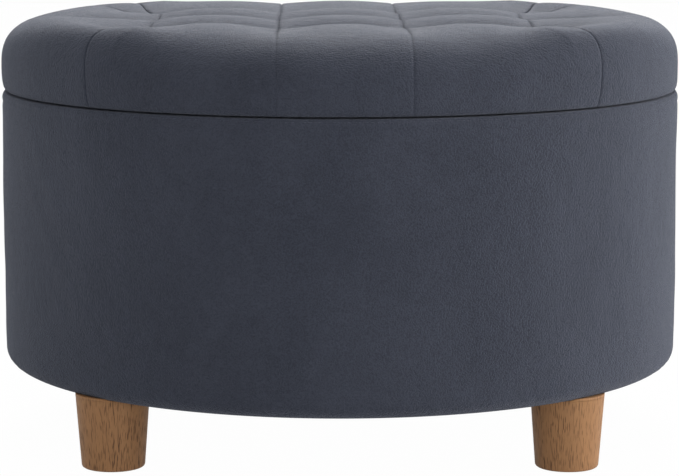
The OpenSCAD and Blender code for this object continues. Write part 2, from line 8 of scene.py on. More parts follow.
import bmesh
import bpy
import numpy as np
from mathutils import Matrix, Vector


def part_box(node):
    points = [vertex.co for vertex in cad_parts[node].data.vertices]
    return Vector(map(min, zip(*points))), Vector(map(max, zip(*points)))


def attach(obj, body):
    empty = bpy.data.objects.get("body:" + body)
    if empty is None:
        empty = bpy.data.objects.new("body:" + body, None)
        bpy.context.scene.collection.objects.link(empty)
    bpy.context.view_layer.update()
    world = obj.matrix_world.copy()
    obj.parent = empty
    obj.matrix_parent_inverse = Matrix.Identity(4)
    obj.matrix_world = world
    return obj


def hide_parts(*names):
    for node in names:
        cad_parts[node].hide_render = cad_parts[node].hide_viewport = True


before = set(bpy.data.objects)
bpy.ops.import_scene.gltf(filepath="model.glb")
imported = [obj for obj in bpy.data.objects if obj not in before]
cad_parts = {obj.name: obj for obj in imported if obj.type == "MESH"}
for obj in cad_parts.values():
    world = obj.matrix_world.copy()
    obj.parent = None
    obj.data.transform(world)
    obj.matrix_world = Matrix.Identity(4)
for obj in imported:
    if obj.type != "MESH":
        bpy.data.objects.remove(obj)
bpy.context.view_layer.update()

LOG = logging.getLogger("ottoman")
# Sockets of a Mix node that take and give colours.
MIX_COLOURS = (6, 7)
MIX_COLOUR_OUT = 2
# Thickness of the lining round the well, in metres.
LINING_THICK = 0.0015
Colour = tuple[float, float, float]


# --------------------------------------------------------------------------- shader maths


class Term:
    """A value in a shader that takes part in Python arithmetic."""

    def __init__(self, shader: "Shader", socket: bpy.types.NodeSocket) -> None:
        """Wraps one output socket of a shader."""
        self.shader = shader
        self.socket = socket

    def _maths(self, operation: str, *values: Any) -> "Term":
        """Adds one Math node on these values."""
        return self.shader.out("ShaderNodeMath", {"operation": operation}, dict(enumerate(values)))

    def __add__(self, other: Any) -> "Term":
        """Sum."""
        return self._maths("ADD", self, other)

    def __sub__(self, other: Any) -> "Term":
        """Difference."""
        return self._maths("SUBTRACT", self, other)

    def __rsub__(self, other: Any) -> "Term":
        """Reflected difference."""
        return self._maths("SUBTRACT", other, self)

    def __mul__(self, other: Any) -> "Term":
        """Product."""
        return self._maths("MULTIPLY", self, other)

    __radd__ = __add__
    __rmul__ = __mul__

    def most(self, other: Any) -> "Term":
        """The greater of the two."""
        return self._maths("MAXIMUM", self, other)

    def step(self, low: float, high: float) -> "Term":
        """Smooth step from 0 at low to 1 at high."""
        return self.shader.out(
            "ShaderNodeMapRange",
            {"interpolation_type": "SMOOTHSTEP"},
            {"Value": self, "From Min": low, "From Max": high},
        )


class Shader:
    """The node tree of one material or world."""

    def __init__(self, owner: bpy.types.ID) -> None:
        """Empties the tree of a new material or world."""
        owner.use_nodes = True
        self.owner, self.tree = owner, owner.node_tree
        self.tree.nodes.clear()

    def node(self, kind: str, settings: dict[str, Any], inputs: dict[Any, Any]) -> bpy.types.Node:
        """Adds one node.

        Args:
            kind: the node's type.
            settings: its properties, set first.
            inputs: values, colours or links by socket name or number.

        Returns:
            The new node.
        """
        node = self.tree.nodes.new(kind)
        for key, value in settings.items():
            setattr(node, key, value)
        for key, value in inputs.items():
            if isinstance(value, Term):
                self.tree.links.new(value.socket, node.inputs[key])
            else:
                node.inputs[key].default_value = value
        return node

    def out(self, kind: str, settings: dict[str, Any], inputs: dict[Any, Any], pick: Any = 0) -> Term:
        """Adds one node and returns the output that pick names or numbers."""
        return Term(self, self.node(kind, settings, inputs).outputs[pick])

    def place(self, stretch: Sequence[float] = (1, 1, 1)) -> Term:
        """Object coordinates, each times its factor."""
        at = self.out("ShaderNodeTexCoord", {}, {}, "Object")
        return self.out("ShaderNodeMapping", {}, {"Vector": at, "Scale": tuple(stretch)})

    def noise(self, scale: float, detail: float, rough: float,
              stretch: Sequence[float] = (1, 1, 1)) -> Term:
        """Smooth noise between about 0.2 and 0.8.

        Args:
            scale: how many features lie in a metre.
            detail: how many finer layers it has.
            rough: how strong the finer layers are.
            stretch: factor on each coordinate; less than 1 draws the features out.

        Returns:
            The noise as a number.
        """
        inputs = {"Vector": self.place(stretch), "Scale": scale, "Detail": detail, "Roughness": rough}
        return self.out("ShaderNodeTexNoise", {}, inputs, "Fac")

    def mix(self, mask: Any, low: Any, high: Any) -> Term:
        """Mixes two colours by a mask."""
        colours = [c if isinstance(c, Term) else (*c, 1.0) for c in (low, high)]
        sockets = {0: mask, **dict(zip(MIX_COLOURS, colours))}
        return self.out("ShaderNodeMix", {"data_type": "RGBA"}, sockets, MIX_COLOUR_OUT)

    def bump(self, height: Term, distance: float, strength: float) -> Term:
        """Normal bent by a height in units of distance, in metres."""
        inputs = {"Height": height, "Distance": distance, "Strength": strength}
        return self.out("ShaderNodeBump", {}, inputs)

    def surface(self, inputs: dict[str, Any]) -> bpy.types.Material:
        """Ends the tree in a Principled shader with these inputs and returns the material."""
        shader = self.out("ShaderNodeBsdfPrincipled", {}, inputs)
        self.node("ShaderNodeOutputMaterial", {}, {"Surface": shader})
        return self.owner


# --------------------------------------------------------------------------- finishes


def linear(red: int, green: int, blue: int) -> Colour:
    """Turns display values from 0 to 255 into a linear colour."""
    return tuple(
        v / 12.92 if v <= 0.04045 else ((v + 0.055) / 1.055) ** 2.4
        for v in (red / 255, green / 255, blue / 255)
    )


@dataclass(frozen=True)
class Velvet:
    """Short-pile velvet that glows where it is seen edge on."""

    name: str = "velvet"
    deep: Colour = linear(47, 50, 60)
    lifted: Colour = linear(68, 71, 82)
    sheen: float = 0.36
    sheen_rough: float = 0.34
    sheen_tint: Colour = linear(204, 208, 222)

    def build(self) -> bpy.types.Material:
        """Makes the material: brushed patches, mottled pile and a fine nap."""
        s = Shader(bpy.data.materials.new(self.name))
        patches = s.noise(9.0, 3.0, 0.55, (1, 1, 0.55)).step(0.36, 0.66)
        mottle = s.noise(85.0, 3.0, 0.6).step(0.3, 0.72)
        nap = s.noise(620.0, 2.0, 0.7).step(0.34, 0.66)
        mask = patches * 0.26 + mottle * 0.22 + nap * 0.52
        return s.surface({
            "Base Color": s.mix(mask, self.deep, self.lifted),
            "Roughness": mottle * 0.1 + 0.82,
            "Specular IOR Level": 0.2,
            "Sheen Weight": self.sheen,
            "Sheen Roughness": self.sheen_rough,
            "Sheen Tint": (*self.sheen_tint, 1.0),
            "Normal": s.bump(nap * 0.9 + mottle * 0.6, 0.0007, 0.9),
        })


@dataclass(frozen=True)
class LegWood:
    """Open-grained hardwood with a matt brown stain."""

    name: str = "leg_wood"
    dark: Colour = linear(112, 76, 47)
    mid: Colour = linear(154, 110, 71)
    light: Colour = linear(190, 140, 92)
    pore: Colour = linear(62, 38, 24)

    def build(self) -> bpy.types.Material:
        """Makes the material: growth bands, fibres and short dark pores along the grain."""
        s = Shader(bpy.data.materials.new(self.name))
        warped = s.noise(22.0, 2.0, 0.5, (1, 1, 0.10))
        fibre = s.noise(420.0, 2.0, 0.6, (1, 1, 0.030))
        streak = s.noise(190.0, 3.0, 0.6, (1, 1, 0.045))
        zones = s.noise(60.0, 1.0, 0.5, (1, 1, 0.15)).step(0.35, 0.65)
        pores = s.noise(1000.0, 1.0, 0.5, (1, 1, 0.055)).step(0.52, 0.66)
        pores = pores * (zones * 0.45 + 0.55)
        tone = s.mix(warped * 0.35 + streak * 0.35 + fibre * 0.3, self.dark, self.light)
        body = s.mix(0.3, tone, self.mid)
        return s.surface({
            "Base Color": s.mix(pores * 0.8, body, self.pore),
            "Roughness": pores * 0.2 + streak * 0.12 + 0.52,
            "Specular IOR Level": 0.35,
            "Normal": s.bump(streak * 0.4 + fibre * 0.3 - pores, 0.00018, 0.7),
        })


@dataclass(frozen=True)
class BoardWood:
    """Plain sheet or sawn timber of the hidden frame."""

    name: str
    pale: Colour
    dark: Colour
    along: tuple[float, float, float] = (1.0, 0.08, 1.0)

    def build(self) -> bpy.types.Material:
        """Makes the material: long soft grain and fine fibres."""
        s = Shader(bpy.data.materials.new(self.name))
        grain = s.noise(60.0, 4.0, 0.6, self.along).step(0.3, 0.7)
        fibre = s.noise(700.0, 2.0, 0.6, self.along)
        return s.surface({
            "Base Color": s.mix(grain * 0.7 + fibre * 0.3, self.dark, self.pale),
            "Roughness": fibre * 0.2 + 0.6,
            "Normal": s.bump(fibre, 0.0002, 0.5),
        })


@dataclass(frozen=True)
class PressedCloth:
    """Black non-woven cloth, point-bonded in a fine diamond grid."""

    name: str
    base: Colour = linear(30, 30, 32)
    raised: Colour = linear(48, 48, 51)
    pitch: float = 0.0022

    def build(self) -> bpy.types.Material:
        """Makes the material: pressed dots and loose fibres."""
        s = Shader(bpy.data.materials.new(self.name))
        grid = {"Vector": s.place(), "Scale": 1 / self.pitch, "Randomness": 0.25}
        dots = s.out("ShaderNodeTexVoronoi", {"feature": "F1"}, grid).step(0.15, 0.5)
        fibres = s.noise(1500.0, 3.0, 0.7)
        cloudy = s.noise(40.0, 3.0, 0.6)
        return s.surface({
            "Base Color": s.mix(dots * 0.5 + fibres * 0.3 + cloudy * 0.2, self.base, self.raised),
            "Roughness": fibres * 0.15 + 0.78,
            "Sheen Weight": 0.15,
            "Normal": s.bump(dots + fibres * 0.5, 0.00025, 0.7),
        })


@dataclass(frozen=True)
class Steel:
    """Plated or painted steel of the hardware."""

    name: str
    bright: Colour
    dull: Colour
    rough: float = 0.32

    def build(self) -> bpy.types.Material:
        """Makes the material: fine rolling marks and cloudy plating."""
        s = Shader(bpy.data.materials.new(self.name))
        marks = s.noise(900.0, 2.0, 0.5, (1, 0.05, 1))
        cloud = s.noise(120.0, 3.0, 0.6)
        return s.surface({
            "Base Color": s.mix(cloud * 0.7 + marks * 0.3, self.dull, self.bright),
            "Metallic": 1.0,
            "Roughness": marks * 0.12 + cloud * 0.12 + self.rough,
            "Normal": s.bump(marks, 0.00005, 0.4),
        })


@dataclass(frozen=True)
class SoftMatter:
    """Rubber, felt, thread or foam: one colour with a cloudy, grainy surface."""

    name: str
    base: Colour
    raised: Colour
    grain: float
    rough: float = 0.85
    sheen: float = 0.0

    def build(self) -> bpy.types.Material:
        """Makes the material: grain at one scale over soft clouds."""
        s = Shader(bpy.data.materials.new(self.name))
        grain = s.noise(self.grain, 3.0, 0.65)
        cloud = s.noise(self.grain * 0.08, 2.0, 0.5)
        return s.surface({
            "Base Color": s.mix(grain * 0.6 + cloud * 0.4, self.base, self.raised),
            "Roughness": grain * 0.1 + self.rough - 0.05,
            "Sheen Weight": self.sheen,
            "Normal": s.bump(grain, 0.3 / self.grain, 0.6),
        })


class Finish(Enum):
    """Every finish on the ottoman; its value's name is the name of its material."""

    VELVET = Velvet()
    LEG_WOOD = LegWood()
    PLYWOOD = BoardWood("plywood", linear(214, 186, 144), linear(182, 148, 104))
    SOFTWOOD = BoardWood("softwood", linear(222, 194, 150), linear(192, 156, 108), (1, 1, 0.08))
    FIBREBOARD = BoardWood("fibreboard", linear(128, 96, 66), linear(104, 76, 52), (1, 1, 1))
    LINING = PressedCloth("lining_cloth")
    DUST = PressedCloth("dust_cloth", linear(24, 24, 26), linear(38, 38, 41), 0.0028)
    ZINC = Steel("zinc_steel", linear(176, 178, 181), linear(140, 142, 146))
    HINGE = Steel("hinge_steel", linear(118, 115, 109), linear(88, 86, 81), 0.42)
    STAY = Steel("stay_steel", linear(150, 152, 156), linear(118, 121, 126), 0.38)
    RUBBER = SoftMatter("rubber", linear(24, 24, 25), linear(36, 36, 37), 400.0, 0.7)
    FELT = SoftMatter("felt", linear(44, 40, 36), linear(66, 60, 54), 900.0, 0.95, 0.3)
    FOAM = SoftMatter("foam", linear(214, 206, 176), linear(232, 226, 200), 700.0)
    THREAD = SoftMatter("thread", linear(52, 55, 65), linear(78, 82, 94), 2500.0, 0.7, 0.4)


class Palette:
    """Builds each finish once, when it is first asked for."""

    def __init__(self) -> None:
        """Starts with nothing built."""
        self.built: dict[Finish, bpy.types.Material] = {}

    def get(self, finish: Finish) -> bpy.types.Material:
        """The material of a finish."""
        if finish not in self.built:
            self.built[finish] = finish.value.build()
        return self.built[finish]

    def dress(self, piece: bpy.types.Object, finish: Finish) -> None:
        """Puts one finish on every slot of a piece."""
        if not piece.material_slots:
            piece.data.materials.append(self.get(finish))
        for holder in piece.material_slots:
            holder.material = self.get(finish)


# --------------------------------------------------------------------------- mesh helpers


def make_object(name: str, verts: np.ndarray, faces: Any, smooth: bool = True) -> bpy.types.Object:
    """Makes a mesh object at the origin.

    Args:
        name: the piece's name.
        verts: points, one row each, in metres.
        faces: vertex numbers of each face, as an array or as lists.
        smooth: whether the faces are shaded smooth.

    Returns:
        The new object, linked to the scene.
    """
    mesh = bpy.data.meshes.new(name)
    mesh.from_pydata(verts.tolist(), [], faces.tolist() if isinstance(faces, np.ndarray) else faces)
    mesh.validate()
    mesh.polygons.foreach_set("use_smooth", [smooth] * len(mesh.polygons))
    mesh.update()
    piece = bpy.data.objects.new(name, mesh)
    bpy.context.scene.collection.objects.link(piece)
    return piece


def make_solid(name: str, verts: np.ndarray, faces: Any, smooth: bool = True) -> bpy.types.Object:
    """Makes a closed mesh object, as make_object does, and turns all its faces outwards."""
    piece = make_object(name, verts, faces, smooth)
    mesh = bmesh.new()
    mesh.from_mesh(piece.data)
    bmesh.ops.recalc_face_normals(mesh, faces=mesh.faces)
    mesh.to_mesh(piece.data)
    mesh.free()
    return piece


def arc(centre: tuple[float, float], radius: float, start: float, end: float, count: int) -> list:
    """Points along an arc in a side outline, from one angle in degrees to another."""
    angles = np.radians(np.linspace(start, end, count))
    return [(centre[0] + radius * math.cos(a), centre[1] + radius * math.sin(a)) for a in angles]


def leaning(radius: float, end: float, lean: tuple[float, float], count: int) -> list:
    """Points of an upright side that leans in towards its end.

    Args:
        radius: the side's full radius, where it starts to lean.
        end: height of its end.
        lean: how far the end is drawn in, and how far above the end the side starts to lean.
        count: how many points.

    Returns:
        Radius and height of each point, as far as the end.
    """
    inward, tall = lean
    turns = np.linspace(0, math.pi / 2, count)
    return [(radius - inward * (1 - math.cos(t)), end + tall * (1 - math.sin(t))) for t in turns]


def thin_out(outline: Sequence[tuple[float, float]], step: float) -> np.ndarray:
    """Keeps an outline's close points on bends and fills its long straights a step apart.

    Args:
        outline: radius and height of each point.
        step: greatest distance left between two points.

    Returns:
        The points, one row each.
    """
    kept = [outline[0]]
    for point in outline[1:]:
        start = kept[-1]
        length = math.hypot(point[0] - start[0], point[1] - start[1])
        if length < 1e-6:
            continue
        count = max(1, round(length / step))
        for i in range(1, count + 1):
            kept.append(tuple(a + (b - a) * i / count for a, b in zip(start, point)))
    return np.array(kept)


def ring_faces(rings: int, around: int, closed: bool) -> np.ndarray:
    """Four-sided faces between rings of points; the last ring meets the first if closed."""
    i, j = np.meshgrid(np.arange(rings if closed else rings - 1), np.arange(around), indexing="ij")
    a, b = i.ravel(), j.ravel()
    c, d = (a + 1) % rings, (b + 1) % around
    return np.c_[a * around + b, a * around + d, c * around + d, c * around + b]


def capped_faces(rings: int, around: int) -> list[list[int]]:
    """Faces between rings of points, and a flat one over the first and over the last ring."""
    sides = [list(face) for face in ring_faces(rings, around, False)]
    last = (rings - 1) * around
    return [*sides, list(range(around)), list(range(last, last + around))]


def full_turn(around: int) -> np.ndarray:
    """Even angles round a full turn."""
    return np.linspace(0, 2 * math.pi, around, endpoint=False)


def as_points(x: np.ndarray, y: np.ndarray, z: np.ndarray) -> np.ndarray:
    """One row for each point of three grids of coordinates."""
    return np.stack(np.broadcast_arrays(x, y, z), axis=-1).reshape(-1, 3)


def round_box(node: str) -> tuple[Vector, Vector, float]:
    """Lowest and highest corners of a round CAD node, and its radius."""
    low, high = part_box(node)
    return low, high, (high[0] - low[0]) / 2


@dataclass(frozen=True)
class Ridge:
    """A smooth ridge, or a groove where its height is below nought."""

    height: float
    middle: float
    width: float

    def at(self, place: np.ndarray) -> np.ndarray:
        """Its height at places across it."""
        return self.height * np.exp(-(((place - self.middle) / self.width) ** 2))


class Ripple:
    """Smooth seeded noise; wrap is the radius of the circle on which it is read round a drum."""

    wrap = 0.3555

    def __init__(self, seed: int, waves: int = 24) -> None:
        """Draws the waves from one seed."""
        rng = np.random.default_rng(seed)
        angle = rng.uniform(0, 2 * math.pi, waves)
        size = rng.uniform(0.6, 1.4, waves)
        self.kx, self.ky = np.cos(angle) * size, np.sin(angle) * size
        self.phase = rng.uniform(0, 2 * math.pi, waves)

    def at(self, x: np.ndarray, y: np.ndarray, length: float) -> np.ndarray:
        """Noise between about -1 and 1 at points, with features of about that length."""
        k = 2 * math.pi / length
        total = sum(np.sin(k * (a * x + b * y) + p) for a, b, p in zip(self.kx, self.ky, self.phase))
        return total / math.sqrt(len(self.kx))

    def around(self, angle: np.ndarray, height: np.ndarray, length: float) -> np.ndarray:
        """Noise round a drum, which meets itself after a full turn."""
        x, y = np.cos(angle)[None, :] * self.wrap, np.sin(angle)[None, :] * self.wrap
        return self.at(x + height * 0.7, y - height * 0.4, length)


def smooth_step(value: np.ndarray, low: float, high: float) -> np.ndarray:
    """0 below low, 1 above high and smooth between."""
    t = np.clip((value - low) / (high - low), 0, 1)
    return t * t * (3 - 2 * t)


def turn_from(angle: np.ndarray, place: float) -> np.ndarray:
    """How far angles lie from the angle of a place, the short way round."""
    return np.abs(np.mod(angle - place + math.pi, 2 * math.pi) - math.pi)


def turn_step(angle: np.ndarray, degrees: tuple[float, float]) -> np.ndarray:
    """Smooth step of an angle between two limits in degrees."""
    return smooth_step(angle, math.radians(degrees[0]), math.radians(degrees[1]))


def read_between(table: np.ndarray, row: np.ndarray, column: np.ndarray) -> np.ndarray:
    """Values of a table at places between its rows and columns.

    Args:
        table: rows and columns of numbers, or of lists of numbers.
        row: places along the rows, counted from nought.
        column: places along the columns.

    Returns:
        One value, or one list of values, for each place.
    """
    i = np.minimum(row.astype(int), table.shape[0] - 2)
    j = np.minimum(column.astype(int), table.shape[1] - 2)
    p, q = (part.reshape(part.shape + (1,) * (table.ndim - 2)) for part in (row - i, column - j))
    near = table[i, j] * (1 - q) + table[i, j + 1] * q
    far = table[i + 1, j] * (1 - q) + table[i + 1, j + 1] * q
    return near * (1 - p) + far * p


def islands(node: str) -> list[tuple[Vector, Vector]]:
    """Finds the separate solids in a CAD node.

    Args:
        node: the CAD node's name.

    Returns:
        Lowest and highest corners of each solid, in order of X and then of Y.
    """
    mesh = bmesh.new()
    mesh.from_mesh(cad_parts[node].data)
    bmesh.ops.remove_doubles(mesh, verts=mesh.verts, dist=1e-6)
    left, boxes = set(mesh.verts), []
    while left:
        group, edge = set(), [left.pop()]
        while edge:
            vert = edge.pop()
            group.add(vert)
            for near in (link.other_vert(vert) for link in vert.link_edges):
                if near in left:
                    left.remove(near)
                    edge.append(near)
        points = [v.co for v in group]
        low = Vector([min(p[i] for p in points) for i in range(3)])
        high = Vector([max(p[i] for p in points) for i in range(3)])
        boxes.append((low, high))
    mesh.free()
    return sorted(boxes, key=lambda b: (round(b[0].x, 4), round(b[0].y, 4)))


# --------------------------------------------------------------------------- repeated parts


@dataclass
class Scatter:
    """Copies one small solid onto points by a Geometry Nodes tree.

    Slack is how far each copy may turn by chance, in radians, as parts set by hand do.
    """

    name: str
    finish: Finish
    slack: float = 0.0
    size: float = 1.0
    seed: int = 7

    def run(self, points: bpy.types.Object, model: bpy.types.Object, palette: Palette) -> bpy.types.Object:
        """Places the model on each point, turned by the point's "turn" attribute.

        Args:
            points: object whose vertices are the places, with a vector attribute "turn".
            model: the small solid to copy.
            palette: where the finish comes from.

        Returns:
            One plain mesh object that holds all the copies.
        """
        tree = bpy.data.node_groups.new(self.name + "_tree", "GeometryNodeTree")
        face = tree.interface
        face.new_socket("Geometry", in_out="INPUT", socket_type="NodeSocketGeometry")
        size = face.new_socket("Size", in_out="INPUT", socket_type="NodeSocketFloat")
        jitter = face.new_socket("Jitter", in_out="INPUT", socket_type="NodeSocketFloat")
        face.new_socket("Geometry", in_out="OUTPUT", socket_type="NodeSocketGeometry")
        new, link = tree.nodes.new, tree.links.new
        start, end = new("NodeGroupInput"), new("NodeGroupOutput")
        info, turn = new("GeometryNodeObjectInfo"), new("GeometryNodeInputNamedAttribute")
        info.inputs["Object"].default_value = model
        turn.data_type = "FLOAT_VECTOR"
        turn.inputs["Name"].default_value = "turn"
        spread, spin = new("FunctionNodeRandomValue"), new("ShaderNodeVectorMath")
        spread.data_type = "FLOAT_VECTOR"
        spread.inputs["Min"].default_value = (-1, -1, -1)
        spread.inputs["Seed"].default_value = self.seed
        wobble = new("ShaderNodeVectorMath")
        wobble.operation, spin.operation = "SCALE", "ADD"
        copies, real = new("GeometryNodeInstanceOnPoints"), new("GeometryNodeRealizeInstances")
        paint = new("GeometryNodeSetMaterial")
        paint.inputs["Material"].default_value = palette.get(self.finish)
        link(spread.outputs["Value"], wobble.inputs[0])
        link(start.outputs["Jitter"], wobble.inputs["Scale"])
        link(turn.outputs["Attribute"], spin.inputs[0])
        link(wobble.outputs[0], spin.inputs[1])
        link(start.outputs["Geometry"], copies.inputs["Points"])
        link(info.outputs["Geometry"], copies.inputs["Instance"])
        link(spin.outputs[0], copies.inputs["Rotation"])
        link(start.outputs["Size"], copies.inputs["Scale"])
        link(copies.outputs["Instances"], real.inputs["Geometry"])
        link(real.outputs["Geometry"], paint.inputs["Geometry"])
        link(paint.outputs["Geometry"], end.inputs["Geometry"])
        modifier = points.modifiers.new(self.name, "NODES")
        modifier.node_group = tree
        modifier[size.identifier] = self.size
        modifier[jitter.identifier] = self.slack
        bpy.context.view_layer.update()
        graph = bpy.context.evaluated_depsgraph_get()
        mesh = bpy.data.meshes.new_from_object(points.evaluated_get(graph))
        points.modifiers.clear()
        for old in (points, model):
            bpy.data.objects.remove(old)
        piece = bpy.data.objects.new(self.name, mesh)
        bpy.context.scene.collection.objects.link(piece)
        return piece


def point_cloud(places: Sequence[Sequence[float]], turns: Sequence[Sequence[float]]) -> bpy.types.Object:
    """Makes an object of loose points.

    Args:
        places: the points.
        turns: Euler angles of what stands on each point, in radians.

    Returns:
        The points as an object, with the angles as its "turn" attribute.
    """
    mesh = bpy.data.meshes.new("places")
    mesh.from_pydata([tuple(p) for p in places], [], [])
    holder = mesh.attributes.new("turn", "FLOAT_VECTOR", "POINT")
    holder.data.foreach_set("vector", [v for turn in turns for v in turn])
    piece = bpy.data.objects.new("places", mesh)
    bpy.context.scene.collection.objects.link(piece)
    return piece


def ring_cloud(radius: float, height: float, count: int) -> bpy.types.Object:
    """Makes points spaced evenly round a ring, each turned to lie along it."""
    angles = [2 * math.pi * (i + 0.5) / count for i in range(count)]
    places = [(radius * math.cos(a), radius * math.sin(a), height) for a in angles]
    return point_cloud(places, [(0, 0, a + math.pi / 2) for a in angles])


def tube_model(path: Sequence[Sequence[float]], radius: float, sides: int = 6) -> bpy.types.Object:
    """Small closed tube along a few points, used for staples and stitches.

    Args:
        path: points along the middle of the tube.
        radius: half of its thickness.
        sides: number of its sides.

    Returns:
        The tube as a closed object.
    """
    points = [Vector(p) for p in path]
    verts, count = [], len(points)
    for i, point in enumerate(points):
        along = (points[min(i + 1, count - 1)] - points[max(i - 1, 0)]).normalized()
        side = along.cross(Vector((0, 1, 0)))
        side = (side if side.length > 0.1 else along.cross(Vector((1, 0, 0)))).normalized()
        up = side.cross(along)
        for k in range(sides):
            a = 2 * math.pi * k / sides
            verts.append(tuple(point + radius * (side * math.cos(a) + up * math.sin(a))))
    return make_solid("small_part", np.array(verts), capped_faces(count, sides))


# --------------------------------------------------------------------------- tufted lid


@dataclass(frozen=True)
class Crease:
    """How deep one kind of crease lies: a broad hollow in the foam and a narrow fold in it.

    Both fade out between two distances from the lid's centre.
    """

    hollow: float
    fold: float
    fade: tuple[float, float] = (0.185, 0.315)


@dataclass(frozen=True)
class Crown:
    """How the padding rounds off from the crests to the lid's upright side.

    The crests of the end rows lie on straight lines and those of the side petals on an arc, so
    the profile changes with the direction seen from the centre.
    """

    end_crest: float = 0.2037
    side_crest: float = 0.262
    corner_crest: float = 0.296
    crest_turn: tuple[float, float] = (58, 84)
    drop: float = 0.0565
    end_power: float = 2.5
    side_power: float = 2.95
    power_turn: tuple[float, float] = (20, 70)
    points: int = 120

    def crest(self, direction: float) -> float:
        """Distance of the crest from the centre, in a direction counted from the ends."""
        end = min(self.end_crest / max(math.cos(direction), 0.01), self.corner_crest)
        share = turn_step(np.array(direction), self.crest_turn)
        return end + (self.side_crest - end) * float(share)

    def outline(self, direction: float, radius: float, top: float) -> list[tuple[float, float]]:
        """Points of the profile in one direction, from the crest to the side.

        Args:
            direction: angle from the ends, in radians.
            radius: radius of the lid's side.
            top: height of the crests.

        Returns:
            Radius and height of each point.
        """
        share = float(turn_step(np.array(direction), self.power_turn))
        power = 2 / (self.end_power + (self.side_power - self.end_power) * share)
        crest, points = self.crest(direction), []
        for t in np.linspace(0, math.pi / 2, self.points):
            across, down = math.sin(t) ** power, math.cos(t) ** power
            points.append((crest + (radius - crest) * across, top - self.drop * (1 - down)))
        return points


